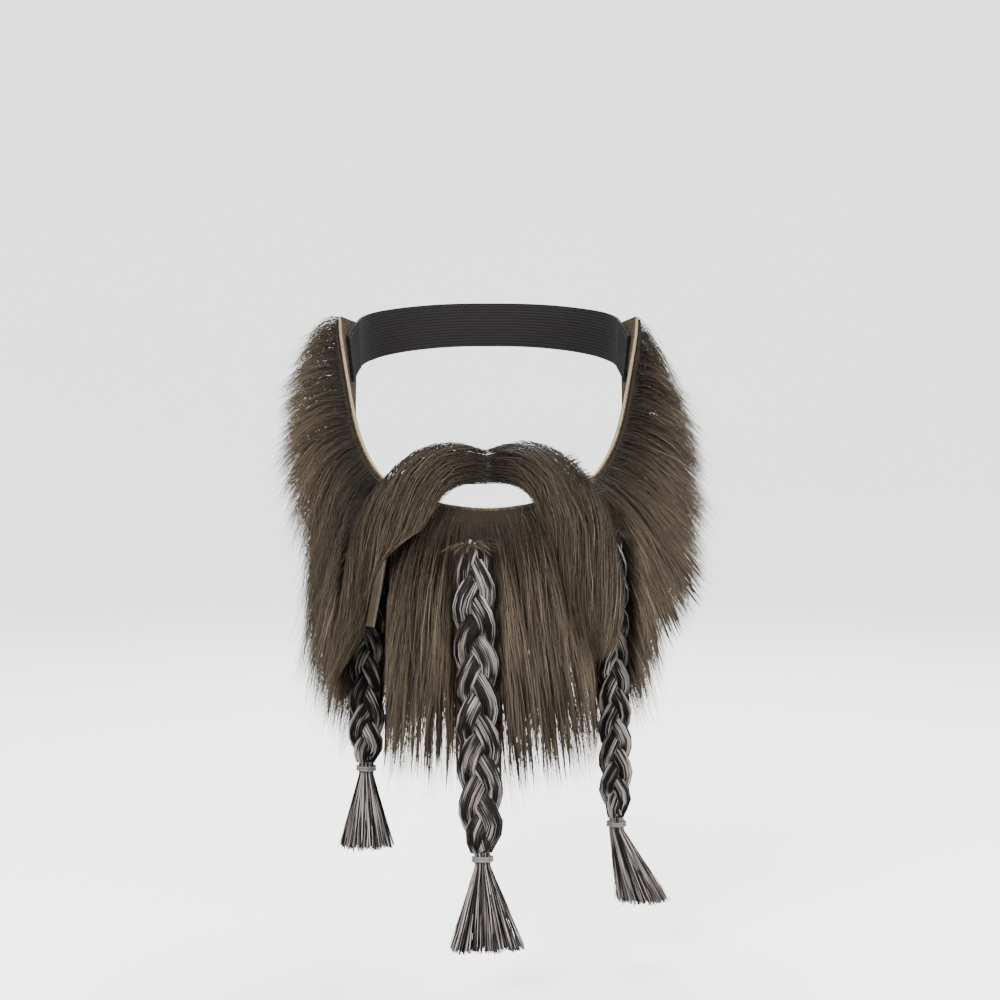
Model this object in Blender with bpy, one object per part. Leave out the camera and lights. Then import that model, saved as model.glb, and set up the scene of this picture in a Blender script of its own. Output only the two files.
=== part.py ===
"""A costume beard as it is worn: a fur panel from ear to ear, a long moustache on its own strip,
three tied plaits with brush ends, and an elastic strap that goes round the back of the head.

Metres, +Z up. The face looks along -Y and +X is the wearer's left side.
The origin is the middle of the mouth opening, on the wearer's lips.
"""

import math
from types import SimpleNamespace

import bmesh
import bpy
import numpy as np

# The wearer's face, which the panel is shaped to
FACE_HALF_WIDTH = 0.075
EAR_DEPTH = 0.108
SIDEBURN_RISE = 0.091
CHIN_DROP = 0.057
JAW_BULGE = 0.017

# Fabric panel
PANEL_THICKNESS = 0.002
PANEL_CELLS_ALONG = 34
PANEL_CELLS_DOWN = 5

# Fur pile on the panel
COAT_DEPTH = 0.016
COAT_THIN_EDGE = 0.0025
COAT_EDGE_SHARE = 0.03
ROOT_DEPTH = 0.0015
FUR_LENGTH = 0.055
LOCK_WIDTH = 0.028
LOCK_THICKNESS = 0.013
LOCK_COLUMNS = 14
LOCK_RINGS = 4
LOCK_SIDES = 5
POINT_SHARE = 0.3

# Moustache
STRIP_WIDTH = 0.012
STRIP_THICKNESS = 0.0015
STRIP_RINGS = 22
WING_WIDTH = 0.028
WING_DEPTH = 0.014
WING_RINGS = 10
WING_SIDES = 8
WISP_RINGS = 5
WISP_SIDES = 6

# Plaits, their ties and brush ends
STRAND_WIDTH = 0.0084
STRAND_THICKNESS = 0.0068
PLAIT_SWING = 0.0049
PLAIT_WEAVE = 0.0024
PLAIT_TURN = 0.048
STRAND_SIDES = 5
BED_SIDES = 8
STRAND_RINGS_PER_TURN = 6
GATHERED_SHARE = 0.40
THIN_SHARE = 0.68
NECK_RADIUS = 0.0036
NECK_LENGTH = 0.0060
TIE_WIRE_RADIUS = 0.0011
TIE_SEGMENTS = 12
TIE_WIRE_SIDES = 5
BRUSH_LENGTH = 0.034
BRUSH_SPREAD = 0.014
BRUSH_DEPTH = 0.006
BRUSH_LOCKS = 7

# Elastic head strap
STRAP_WIDTH = 0.025
STRAP_THICKNESS = 0.0013
STRAP_RINGS = 26
HEAD_BACK_DEPTH = 0.179
STRAP_BACK_RISE = 0.100

# Space left between pieces that touch
SEAM_GAP = 0.0004
BED_GAP = 0.0006

DOWN = np.array((0.0, 0.0, -1.0))
FRONT = np.array((0.0, -1.0, 0.0))
HEAD_CENTRE = np.array((0.0, 0.6, 0.1))


class Rows:
    """A table with named columns, read smoothly between its evenly spaced rows."""

    def __init__(self, columns, rows):
        self.columns = columns.split()
        self.values = np.array(rows, float)

    def at(self, share):
        last = len(self.values) - 1
        place = min(max(share, 0.0), 1.0) * last
        first = min(int(place), last - 1)
        t = place - first
        before, start, end, after = (
            self.values[min(max(first + step, 0), last)] for step in (-1, 0, 1, 2)
        )
        value = start + 0.5 * t * (
            end - before
            + t * (2 * before - 5 * start + 4 * end - after
                   + t * (3 * (start - end) + after - before))
        )
        return SimpleNamespace(**dict(zip(self.columns, value)))


def mirrored(columns, rows):
    """Rows from one end through the middle row to the other end, with the columns in x turned over."""
    sign = np.array([-1.0 if name.endswith("_x") else 1.0 for name in columns.split()])
    rows = np.array(rows, float)
    return np.concatenate([rows[:0:-1] * sign, rows])


# Panel sections from the chin to the top of a sideburn. The inner edge runs beside the mouth and cheek,
# the outer edge under the jaw and in front of the ear. Shares of the face's sizes.
PANEL_COLUMNS = "inner_x inner_y inner_z outer_x outer_y outer_z bulge"
PANEL = Rows(PANEL_COLUMNS, mirrored(PANEL_COLUMNS, (
    (0.000, 0.000, -0.12, 0.000, 0.250, -1.00, 1.00),
    (0.187, 0.020, -0.10, 0.267, 0.287, -0.97, 0.98),
    (0.360, 0.074, -0.05, 0.493, 0.417, -0.83, 0.90),
    (0.520, 0.176, 0.022, 0.680, 0.611, -0.63, 0.70),
    (0.653, 0.278, 0.093, 0.827, 0.815, -0.35, 0.50),
    (0.760, 0.380, 0.214, 0.900, 0.935, 0.022, 0.32),
    (0.847, 0.490, 0.380, 0.935, 0.990, 0.264, 0.20),
    (0.920, 0.611, 0.626, 0.940, 1.000, 0.550, 0.10),
    (0.980, 0.694, 0.879, 0.930, 0.980, 0.868, 0.03),
    (0.993, 0.722, 1.000, 0.927, 0.926, 1.000, 0.00),
)))

# How the pile lies, from the top of the right sideburn through the chin to the top of the left one.
# lie_x, lie_y and lie_z are a direction, stand is how far the pile first stands off the panel and
# length is a share of the fur's length.
FUR = Rows("lie_x lie_y lie_z stand length", (
    (-0.35, 0.30, -0.85, 0.20, 0.42),
    (-0.55, 0.25, -0.80, 0.32, 0.54),
    (-0.80, 0.18, -0.62, 0.40, 0.60),
    (-0.60, 0.10, -0.82, 0.40, 0.66),
    (-0.24, 0.00, -1.00, 0.38, 0.82),
    (-0.16, -0.05, -1.00, 0.36, 0.90),
    (-0.06, -0.10, -1.00, 0.34, 0.98),
    (0.02, -0.12, -1.00, 0.34, 1.00),
    (0.10, -0.12, -1.00, 0.34, 0.98),
    (0.22, -0.08, -1.00, 0.36, 0.94),
    (0.32, -0.02, -0.95, 0.38, 0.90),
    (0.46, 0.05, -0.85, 0.44, 0.84),
    (0.58, 0.10, -0.82, 0.44, 0.70),
    (0.70, 0.16, -0.72, 0.42, 0.60),
    (0.52, 0.24, -0.80, 0.34, 0.56),
    (0.35, 0.30, -0.85, 0.20, 0.40),
))
LOCK_ROWS_DOWN = (0.22, 0.55, 0.88)

# The moustache's strip from the middle of the upper lip to the tip of a wing
STRIP_COLUMNS = "mid_x mid_y mid_z facing_x facing_y width"
STRIP_ROWS = (
    (0.000, -0.045, 0.130, 0.00, -1.0, 1.00),
    (0.220, -0.036, 0.122, 0.12, -1.0, 1.00),
    (0.400, 0.020, 0.072, 0.45, -1.0, 0.95),
    (0.560, 0.075, -0.050, 0.62, -1.0, 0.90),
    (0.655, 0.080, -0.380, 0.40, -1.0, 0.85),
    (0.705, 0.085, -0.760, 0.20, -1.0, 0.80),
    (0.735, 0.090, -1.050, 0.15, -1.0, 0.62),
)

# The hair of each wing from the middle of the lip to its point, as it lies when worn
WING_COLUMNS = "mid_x mid_y mid_z width depth"
WINGS = {
    "right": Rows(WING_COLUMNS, (
        (-0.006, -0.098, 0.150, 0.60, 0.62),
        (-0.230, -0.095, 0.135, 0.85, 0.95),
        (-0.440, -0.060, 0.030, 0.98, 1.00),
        (-0.615, -0.030, -0.260, 1.00, 1.00),
        (-0.715, -0.005, -0.620, 0.80, 0.90),
        (-0.795, 0.015, -0.940, 0.58, 0.75),
        (-0.880, 0.025, -1.230, 0.32, 0.45),
        (-0.965, 0.030, -1.500, 0.06, 0.10),
    )),
    "left": Rows(WING_COLUMNS, (
        (0.006, -0.098, 0.150, 0.60, 0.62),
        (0.215, -0.095, 0.140, 0.85, 0.95),
        (0.410, -0.060, 0.050, 0.98, 1.00),
        (0.555, -0.030, -0.210, 1.05, 1.00),
        (0.610, -0.005, -0.560, 0.92, 0.90),
        (0.638, 0.015, -0.880, 0.66, 0.75),
        (0.664, 0.025, -1.130, 0.38, 0.45),
        (0.686, 0.030, -1.340, 0.06, 0.10),
    )),
}
# Wisps that leave a wing's body: where they start and end along it, how far to one side, their width
WISPS = Rows("start end inner_side outer_side width", (
    (0.05, 0.52, 0.35, 0.62, 0.52),
    (0.10, 0.66, -0.30, -0.62, 0.50),
    (0.22, 0.80, 0.30, 0.95, 0.50),
    (0.34, 0.86, -0.35, -0.90, 0.46),
    (0.42, 0.96, 0.20, 0.70, 0.42),
))

# Where each plait hangs, from its sewn top to its tie, in shares, and how its brush end leans and spreads
PLAITS = {
    "right": dict(top=(-0.745, 0.196, -0.44), tie=(-0.752, 0.196, -2.17), size=0.93,
                  lean=0.00, spread=0.80, brush=1.00),
    "middle": dict(top=(-0.078, -0.185, -0.36), tie=(-0.022, -0.300, -2.66), size=1.06,
                   lean=0.02, spread=1.00, brush=1.04),
    "left": dict(top=(0.772, 0.190, -0.28), tie=(0.800, 0.190, -2.62), size=0.86,
                 lean=0.26, spread=0.70, brush=1.05),
}

# The strap's run from the panel's rear edge round to the middle of the back of the head
STRAP = Rows("run_x run_y run_z", (
    (0.000, 0.00, 0.00),
    (0.000, 0.17, 0.15),
    (0.030, 0.38, 0.34),
    (0.120, 0.58, 0.55),
    (0.290, 0.77, 0.75),
    (0.520, 0.90, 0.90),
    (0.760, 0.975, 0.98),
    (1.000, 1.00, 1.00),
))
STRAP_SEWN = Rows("along down", ((0.845, 0.42), (0.870, 0.71), (0.895, 1.00)))


def unit(vector):
    return vector / max(np.linalg.norm(vector), 1e-12)


def height(share):
    """Above the mouth as a share of the sideburns' rise, below it as a share of the chin's drop."""
    return share * (SIDEBURN_RISE if share >= 0 else CHIN_DROP)


def place(across, back, up):
    return np.array((across * FACE_HALF_WIDTH, back * EAR_DEPTH, height(up)))


def panel_frame(along, down):
    """A point of the panel's inner face and the normal there, pointing away from the head."""

    def edges(station):
        row = PANEL.at((station + 1) / 2)
        return (place(row.inner_x, row.inner_y, row.inner_z),
                place(row.outer_x, row.outer_y, row.outer_z), row.bulge * JAW_BULGE)

    def point(station, share):
        inner, outer, bulge = edges(station)
        step = 0.02
        ahead = np.add(*edges(min(station + step, 1.0))[:2])
        behind = np.add(*edges(max(station - step, -1.0))[:2])
        away = unit(np.cross(ahead - behind, outer - inner))
        away *= math.copysign(1.0, away @ ((inner + outer) / 2 - place(*HEAD_CENTRE)))
        return inner + (outer - inner) * share + away * bulge * 4 * share * (1 - share)

    step = 0.01
    along_way = point(min(along + step, 1.0), down) - point(max(along - step, -1.0), down)
    down_way = point(along, min(down + step, 1.0)) - point(along, max(down - step, 0.0))
    here = point(along, down)
    normal = unit(np.cross(along_way, down_way))
    return here, normal * math.copysign(1.0, normal @ (here - place(*HEAD_CENTRE)))


def mesh_object(name, points, faces, material=None):
    mesh = bpy.data.meshes.new(name)
    mesh.from_pydata([tuple(point) for point in points], [], faces)
    mesh.update()
    made = bpy.data.objects.new(name, mesh)
    bpy.context.scene.collection.objects.link(made)
    if material:
        mesh.materials.append(material)
    return made


def past_end(rings, share):
    """How far a tube's end runs on, as a share of its last step."""
    return share * (np.mean(rings[-1], axis=0) - np.mean(rings[-2], axis=0))


def tube(name, rings, material=None, pointed=False):
    """A closed solid through rings of points, each ring with as many points as the others."""
    count = len(rings[0])
    points = [point for ring in rings for point in ring]
    faces = []
    for ring in range(len(rings) - 1):
        for side in range(count):
            here, after = ring * count + side, ring * count + (side + 1) % count
            faces.append((here, after, after + count, here + count))
    faces.append(tuple(reversed(range(count))))
    if pointed:
        points.append(np.mean(rings[-1], axis=0) + past_end(rings, POINT_SHARE))
        last = (len(rings) - 1) * count
        faces += [(last + side, last + (side + 1) % count, len(points) - 1) for side in range(count)]
    else:
        last = (len(rings) - 1) * count
        faces.append(tuple(last + side for side in range(count)))
    made = mesh_object(name, points, faces, material)
    face_outwards(made)
    if count > 4:
        made.data.shade_smooth()
    return made


def face_outwards(made):
    """Turns the faces round if they point into the solid."""
    mesh = made.data
    mesh.calc_loop_triangles()
    volume = 0.0
    for triangle in mesh.loop_triangles:
        a, b, c = (mesh.vertices[corner].co for corner in triangle.vertices)
        volume += a.dot(b.cross(c))
    if volume < 0:
        mesh.flip_normals()


def bed(name, rings):
    """The room round a pointed tube, as a blunt one that covers its point."""
    return tube(name, rings + [rings[-1] + past_end(rings, POINT_SHARE + 0.05)])


def oval(centre, side, front, half_width, half_depth, count, turn=0.0, ahead=0.0):
    """A ring of points, whose front half can be carried further ahead."""
    angles = [2 * math.pi * step / count + turn for step in range(count)]
    return [centre + side * half_width * math.cos(a) + front * half_depth * math.sin(a)
            + FRONT * (ahead if math.sin(a) > 0.01 else 0.0) for a in angles]


def flat_ring(centre, side, front, half_width, half_depth):
    """The four corners of a strip's section."""
    return [centre + side * half_width * i + front * half_depth * j
            for i, j in ((-1, -1), (1, -1), (1, 1), (-1, 1))]


def across_path(path, index, front):
    """Tangent, sideways and squared-up front directions at a point of a path."""
    ahead, behind = path[min(index + 1, len(path) - 1)], path[max(index - 1, 0)]
    tangent = unit(ahead - behind)
    side = unit(np.cross(tangent, front))
    return tangent, side, unit(np.cross(side, tangent))


def combine(made, operation, helpers):
    """Joins helper solids to a solid or cuts them from it."""
    group = bpy.data.collections.new("helpers")
    bpy.context.scene.collection.children.link(group)
    for helper in helpers:
        bpy.context.scene.collection.objects.unlink(helper)
        group.objects.link(helper)
    modifier = made.modifiers.new(operation.lower(), "BOOLEAN")
    modifier.operation = operation
    modifier.solver = "EXACT"
    modifier.operand_type = "COLLECTION"
    modifier.collection = group
    made.data = bpy.data.meshes.new_from_object(
        made.evaluated_get(bpy.context.evaluated_depsgraph_get()))
    made.modifiers.clear()
    for helper in helpers:
        bpy.data.objects.remove(helper)
    bpy.data.collections.remove(group)


def drop_crumbs(mesh):
    """Keeps the one large closed surface: cutting can leave crumbs, and fused locks can shut in a void."""
    solid = bmesh.new()
    solid.from_mesh(mesh)
    waiting = set(solid.faces)
    surfaces = []
    while waiting:
        surface, edge_of = set(), [waiting.pop()]
        while edge_of:
            face = edge_of.pop()
            surface.add(face)
            beside = {other for edge in face.edges for other in edge.link_faces} & waiting
            waiting -= beside
            edge_of += beside
        surfaces.append(surface)
    largest = max(surfaces, key=len)
    crumbs = [face for face in solid.faces if face not in largest]
    bmesh.ops.delete(solid, geom=crumbs, context="FACES")
    solid.to_mesh(mesh)
    solid.free()


def shell(name, near, far, material):
    """A closed wall between two grids of points with the same number of rows and columns."""
    rows, columns = len(near), len(near[0])
    points = [point for grid in (near, far) for row in grid for point in row]
    size = rows * columns
    faces = []
    for row in range(rows - 1):
        for column in range(columns - 1):
            a = row * columns + column
            faces.append((a, a + 1, a + columns + 1, a + columns))
            faces.append((size + a, size + a + columns, size + a + columns + 1, size + a + 1))
    rim = [column for column in range(columns)]
    rim += [row * columns + columns - 1 for row in range(1, rows)]
    rim += [(rows - 1) * columns + column for column in range(columns - 2, -1, -1)]
    rim += [row * columns for row in range(rows - 2, 0, -1)]
    for here, after in zip(rim, rim[1:] + rim[:1]):
        faces.append((here, size + here, size + after, after))
    made = mesh_object(name, points, faces, material)
    face_outwards(made)
    return made


def panel_grid(offset_at, cells_along, cells_down, edge=0.0):
    """Points at a distance from the panel's inner face, from one sideburn to the other."""
    grid = []
    for column in range(cells_along + 1):
        along = (2 * column / cells_along - 1) * (1 - edge)
        line = []
        for row in range(cells_down + 1):
            down = edge + (1 - 2 * edge) * row / cells_down
            point, normal = panel_frame(along, down)
            line.append(point + normal * offset_at(along, down))
        grid.append(line)
    return grid


def make_panel(material):
    near = panel_grid(lambda along, down: 0.0, PANEL_CELLS_ALONG, PANEL_CELLS_DOWN)
    far = panel_grid(lambda along, down: PANEL_THICKNESS, PANEL_CELLS_ALONG, PANEL_CELLS_DOWN)
    return shell("beard_panel", near, far, material)


def lock_path(along, down, length_share):
    """Root, bend and tip of a lock of fur, as points of one smooth curve, with the normal at its root."""
    lie = FUR.at((along + 1) / 2)
    point, normal = panel_frame(along, down)
    root = point + normal * (PANEL_THICKNESS + SEAM_GAP + COAT_DEPTH / 2)
    way = unit(np.array((lie.lie_x, lie.lie_y, lie.lie_z)))
    length = FUR_LENGTH * lie.length * length_share
    bend = root + length * 0.42 * unit(way * (1 - lie.stand) + normal * lie.stand)
    tip = root + length * unit(way + normal * lie.stand * 0.35)
    shares = np.linspace(0, 1, LOCK_RINGS)[:, None]
    path = (1 - shares) ** 2 * root + 2 * shares * (1 - shares) * bend + shares ** 2 * tip
    return path, normal


def make_lock(name, along, down, length_share):
    path, normal = lock_path(along, down, length_share)
    rings = []
    for index in range(LOCK_RINGS):
        share = index / (LOCK_RINGS - 1)
        _, side, front = across_path(path, index, normal)
        swell = 0.3 + 0.7 * min(0.4 + 2 * share, 1 - share ** 2.8)
        rings.append(oval(path[index], side, front, LOCK_WIDTH / 2 * swell,
                          LOCK_THICKNESS / 2 * swell, LOCK_SIDES, math.pi / 2))
    return tube(name, rings, pointed=True)


def coat_depth(along, down):
    """The pile is thin along the panel's cut edges and deepest in the middle."""
    crown = math.sin(math.pi * min(max(down, 0.0), 1.0)) ** 0.5
    end = 1 - max(0.0, (abs(along) - 0.8) / 0.2) ** 2
    return COAT_THIN_EDGE + (COAT_DEPTH - COAT_THIN_EDGE) * crown * max(end, 0.0)


def make_fur(material, beds):
    """The pile: a coat over the panel with locks fused to it, hollowed where other pieces lie in it."""
    locks = []
    for row, down in enumerate(LOCK_ROWS_DOWN):
        columns = LOCK_COLUMNS - row % 2
        for column in range(columns):
            along = (2 * (column + 0.5) / columns - 1) * 0.95
            ragged = 0.93 + 0.14 * math.sin(column * 2.4 + row * 1.7) ** 2
            locks.append(make_lock(f"fur_lock_{row}_{column}", along, down, ragged))
    base = PANEL_THICKNESS + SEAM_GAP
    bare = [panel_grid(lambda along, down: offset, PANEL_CELLS_ALONG, PANEL_CELLS_DOWN)
            for offset in (-COAT_DEPTH, base + ROOT_DEPTH)]
    combine(locks[0], "UNION", locks[1:])
    combine(locks[0], "DIFFERENCE", [shell("bare_side", *bare, None)])
    coat = [panel_grid(lambda along, down: base + depth(along, down),
                       PANEL_CELLS_ALONG, PANEL_CELLS_DOWN, COAT_EDGE_SHARE)
            for depth in (lambda along, down: 0.0, coat_depth)]
    fur = shell("beard_fur", *coat, material)
    combine(fur, "UNION", locks[:1])
    combine(fur, "DIFFERENCE", beds)
    drop_crumbs(fur.data)
    return fur


def strip_frame(share):
    """Middle, facing direction and width of the moustache's strip, from its right tip to its left tip."""
    side = math.copysign(1.0, share - 0.5)
    row = STRIP_HALF.at(abs(2 * share - 1))
    middle = place(side * row.mid_x, row.mid_y, row.mid_z)
    facing = unit(np.array((side * row.facing_x, row.facing_y, 0.0)))
    return middle, facing, row.width * STRIP_WIDTH


STRIP_HALF = Rows(STRIP_COLUMNS, STRIP_ROWS)


def strip_solid(name, clearance, material=None, behind=0.0, ahead=0.0):
    """The strip, or the room round it, which can reach further back and forward than the strip."""
    path, facings, widths = zip(*[strip_frame(ring / STRIP_RINGS) for ring in range(STRIP_RINGS + 1)])
    path = list(path)
    path[0] = path[0] + unit(path[0] - path[1]) * clearance
    path[-1] = path[-1] + unit(path[-1] - path[-2]) * clearance
    rings = []
    for index, (facing, width) in enumerate(zip(facings, widths)):
        _, side, front = across_path(path, index, facing)
        rings.append(flat_ring(path[index] + front * (ahead - behind) / 2, side, front,
                               width / 2 + clearance,
                               (STRIP_THICKNESS + behind + ahead) / 2 + clearance))
    return tube(name, rings, material)


def wing_path(side, share):
    row = WINGS[side].at(share)
    return place(row.mid_x, row.mid_y, row.mid_z), row.width * WING_WIDTH, row.depth * WING_DEPTH


def wing_rings(side, clearance, ahead=0.0):
    shares = [ring / (WING_RINGS - 1) for ring in range(WING_RINGS)]
    path, widths, depths = zip(*[wing_path(side, share) for share in shares])
    rings = []
    for index in range(WING_RINGS):
        _, across, front = across_path(path, index, FRONT)
        rings.append(oval(path[index], across, front, widths[index] / 2 + clearance,
                          depths[index] / 2 + clearance, WING_SIDES, math.pi / WING_SIDES, ahead))
    return rings


def wisp_rings(side, wisp, clearance, ahead=0.0):
    """A narrow lock that runs along a wing and draws away from it to one side."""
    rings, path = [], []
    for index in range(WISP_RINGS):
        share = index / (WISP_RINGS - 1)
        along = wisp.start + (wisp.end - wisp.start) * share
        middle, width, depth = wing_path(side, along)
        run = wing_path(side, min(along + 0.02, 1.0))[0] - wing_path(side, max(along - 0.02, 0.0))[0]
        across = unit(np.cross(unit(run), FRONT))
        offset = wisp.inner_side + (wisp.outer_side - wisp.inner_side) * share ** 1.5
        path.append(middle + across * offset * width / 2 + FRONT * depth * 0.22)
    for index in range(WISP_RINGS):
        share = index / (WISP_RINGS - 1)
        _, across, front = across_path(path, index, FRONT)
        taper = (1 - share ** 2) * 0.9 + 0.1
        rings.append(oval(path[index], across, front,
                          WING_WIDTH / 2 * wisp.width * taper + clearance,
                          WING_DEPTH / 2 * 0.62 * taper + clearance, WISP_SIDES, ahead=ahead))
    return rings


def wisps_of(side, clearance, ahead=0.0):
    return [wisp_rings(side, SimpleNamespace(**dict(zip(WISPS.columns, row))), clearance, ahead)
            for row in WISPS.values]


def make_wing(side, material, cutters):
    """The moustache's hair on one side, hollowed for the strip behind it and cut off at the middle."""
    wing = tube(f"moustache_hair_{side}", wing_rings(side, 0.0), material, pointed=True)
    combine(wing, "UNION", [tube("wisp", rings, pointed=True) for rings in wisps_of(side, 0.0)])
    combine(wing, "DIFFERENCE", cutters)
    return wing


def middle_cut(side):
    """A block past the middle plane, so that the two wings meet there with a seam's gap."""
    reach = FACE_HALF_WIDTH
    sign = -1.0 if side == "right" else 1.0
    near, far = -sign * reach, sign * SEAM_GAP / 2
    corners = [np.array((x, y, z)) for x in (near, far) for y, z in
               ((-reach, -reach), (reach, -reach), (reach, reach), (-reach, reach))]
    return tube(f"middle_cut_{side}", [corners[:4], corners[4:]])


def plait_line(side):
    spec = PLAITS[side]
    return place(*spec["top"]), place(*spec["tie"]), spec["size"]


def plait_frame(side):
    """Top and tie of a plait, its size, and the directions down it, across it and to its front."""
    top, tie, size = plait_line(side)
    drop = unit(tie - top)
    across = unit(np.cross(drop, FRONT))
    return top, tie, size, drop, across, unit(np.cross(across, drop))


def strand_rings(side, strand):
    """One of the three strands, which swings from side to side and passes over and under the others."""
    top, tie, size, drop, across, front = plait_frame(side)
    length = np.linalg.norm(tie - top)
    turns = length / (PLAIT_TURN * size)
    count = max(8, round(turns * STRAND_RINGS_PER_TURN))
    path = []
    for index in range(count + 1):
        share = index / count
        angle = 2 * math.pi * (turns * share + strand / 3)
        drawn_in = min(1.0, GATHERED_SHARE + 3.2 * share, GATHERED_SHARE + 7.0 * (1 - share))
        path.append(top + drop * length * share
                    + across * math.sin(angle) * PLAIT_SWING * size * drawn_in
                    + front * math.sin(2 * angle) * PLAIT_WEAVE * size * drawn_in)
    rings = []
    for index in range(count + 1):
        share = index / count
        side_way, front_way = across, front
        if 0 < index < count:
            _, side_way, front_way = across_path(path, index, front)
        thin = size * min(1.0, THIN_SHARE + 2.0 * share, THIN_SHARE + 5.0 * (1 - share))
        rings.append(oval(path[index], side_way, front_way, STRAND_WIDTH / 2 * thin,
                          STRAND_THICKNESS / 2 * thin, STRAND_SIDES))
    return rings


def make_plait(side, material):
    first, *others = [tube(f"plait_{side}_strand_{strand}", strand_rings(side, strand), material)
                      for strand in range(3)]
    first.name = f"plait_{side}"
    combine(first, "UNION", others)
    return first


def plait_bed(side, clearance, ahead=0.0):
    """The room that a plait takes up, and the room ahead of it, as a simple tube."""
    top, tie, size, drop, across, front = plait_frame(side)
    flat_side = 1 / math.cos(math.pi / BED_SIDES)
    half_width = ((PLAIT_SWING + STRAND_WIDTH / 2) * size + clearance) * flat_side
    half_depth = ((PLAIT_WEAVE + STRAND_THICKNESS / 2) * size + clearance) * flat_side
    ends = (top - drop * (STRAND_THICKNESS / 2 + clearance), tie + drop * (NECK_LENGTH + clearance))
    rings = [oval(end, across, front, half_width, half_depth, BED_SIDES, math.pi / BED_SIDES, ahead)
             for end in ends]
    return tube(f"plait_bed_{side}", rings)


def brush_frame(side):
    """Where the neck under a plait starts, and the directions of its brush end."""
    _, tie, _, drop, across, front = plait_frame(side)
    spec = PLAITS[side]
    lean = unit(drop + across * spec["lean"] * math.copysign(1.0, across[0]))
    return tie + drop * SEAM_GAP, drop, across, front, lean, spec


def make_brush(side, material):
    """The loose end of a plait: locks that fan out from a round neck, fused to it."""
    start, drop, across, front, lean, spec = brush_frame(side)
    neck = [oval(start + drop * NECK_LENGTH * share, across, front, NECK_RADIUS, NECK_RADIUS, 8)
            for share in (0.0, 0.5, 1.0)]
    fan_start = start + drop * NECK_LENGTH
    length = BRUSH_LENGTH * spec["brush"]
    spread = BRUSH_SPREAD * spec["spread"]
    rings = list(neck)
    for share in (0.45, 0.8):
        rings.append(oval(fan_start + lean * length * share, across, front,
                          NECK_RADIUS + (spread * 0.8 - NECK_RADIUS) * share,
                          NECK_RADIUS + (BRUSH_DEPTH * 0.7 - NECK_RADIUS) * share, 8))
    brush = tube(f"brush_{side}", rings, material)
    locks = []
    for number in range(BRUSH_LOCKS):
        angle = 2 * math.pi * number / BRUSH_LOCKS + 0.35
        fan = across * math.cos(angle) * spread + front * math.sin(angle) * BRUSH_DEPTH
        reach = length * (0.93 + 0.07 * math.sin(number * 2.6))
        path = [fan_start - drop * NECK_LENGTH * 0.25 + lean * reach * share + fan * share * 0.82
                for share in (0.0, 0.35, 0.7, 1.0)]
        lock = []
        for index, swell in enumerate((0.42, 0.85, 1.0, 0.62)):
            _, side_way, front_way = across_path(path, index, front)
            lock.append(oval(path[index], side_way, front_way, spread * 0.34 * swell,
                             BRUSH_DEPTH * 0.46 * swell, LOCK_SIDES, angle))
        locks.append(tube(f"brush_lock_{side}_{number}", lock))
    combine(brush, "UNION", locks)
    return brush


def make_tie(side, material):
    """A small elastic ring round the neck."""
    start, drop, across, front, _, _ = brush_frame(side)
    centre = start + drop * NECK_LENGTH / 2
    radius = NECK_RADIUS + SEAM_GAP + TIE_WIRE_RADIUS
    points, faces = [], []
    for segment in range(TIE_SEGMENTS):
        angle = 2 * math.pi * segment / TIE_SEGMENTS
        out = across * math.cos(angle) + front * math.sin(angle)
        points += oval(centre + out * radius, out, drop, TIE_WIRE_RADIUS, TIE_WIRE_RADIUS,
                       TIE_WIRE_SIDES)
        for wire in range(TIE_WIRE_SIDES):
            after = (wire + 1) % TIE_WIRE_SIDES
            here, there = segment * TIE_WIRE_SIDES, (segment + 1) % TIE_SEGMENTS * TIE_WIRE_SIDES
            faces.append((here + wire, here + after, there + after, there + wire))
    tie = mesh_object(f"tie_{side}", points, faces, material)
    face_outwards(tie)
    return tie


def make_strap(material):
    """The elastic, sewn inside each sideburn and led round the back of the head."""
    path, normals = [], []
    for share in (0.0, 0.5, 1.0):
        sewn = STRAP_SEWN.at(share)
        point, normal = panel_frame(sewn.along, sewn.down)
        path.append(point - normal * (SEAM_GAP + STRAP_THICKNESS / 2))
        normals.append(normal)
    rear = np.array((0.0, HEAD_BACK_DEPTH, STRAP_BACK_RISE))
    start = path[-1]
    for step in range(1, STRAP_RINGS // 2 + 1):
        row = STRAP.at(step / (STRAP_RINGS // 2))
        run = np.array((row.run_x, row.run_y, row.run_z))
        path.append(start * (1 - run) + rear * run)
        normals.append(None)
    turn_over = np.array((-1.0, 1.0, 1.0))
    path += [point * turn_over for point in reversed(path[:-1])]
    normals += [normal if normal is None else normal * turn_over for normal in reversed(normals[:-1])]
    rings = []
    for index, normal in enumerate(normals):
        tangent = unit(path[min(index + 1, len(path) - 1)] - path[max(index - 1, 0)])
        across = unit(-DOWN - tangent * (-DOWN @ tangent))
        if normal is not None:
            across = unit(np.cross(normal, tangent) * math.copysign(1.0, np.cross(normal, tangent)[2]))
        front = unit(np.cross(across, tangent))
        rings.append(flat_ring(path[index], across, front, STRAP_WIDTH / 2, STRAP_THICKNESS / 2))
    strap = tube("head_strap", rings, material)
    grids = [panel_grid(lambda along, down: offset, PANEL_CELLS_ALONG, PANEL_CELLS_DOWN)
             for offset in (-SEAM_GAP, PANEL_THICKNESS + SEAM_GAP)]
    combine(strap, "DIFFERENCE", [shell("strap_seam", *grids, None)])
    return strap


def principled(name, colour, roughness):
    material = bpy.data.materials.new(name)
    material.use_nodes = True
    shader = material.node_tree.nodes["Principled BSDF"]
    shader.inputs["Base Color"].default_value = (*colour, 1.0)
    shader.inputs["Roughness"].default_value = roughness
    shader.inputs["Metallic"].default_value = 0.0
    return material


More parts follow.
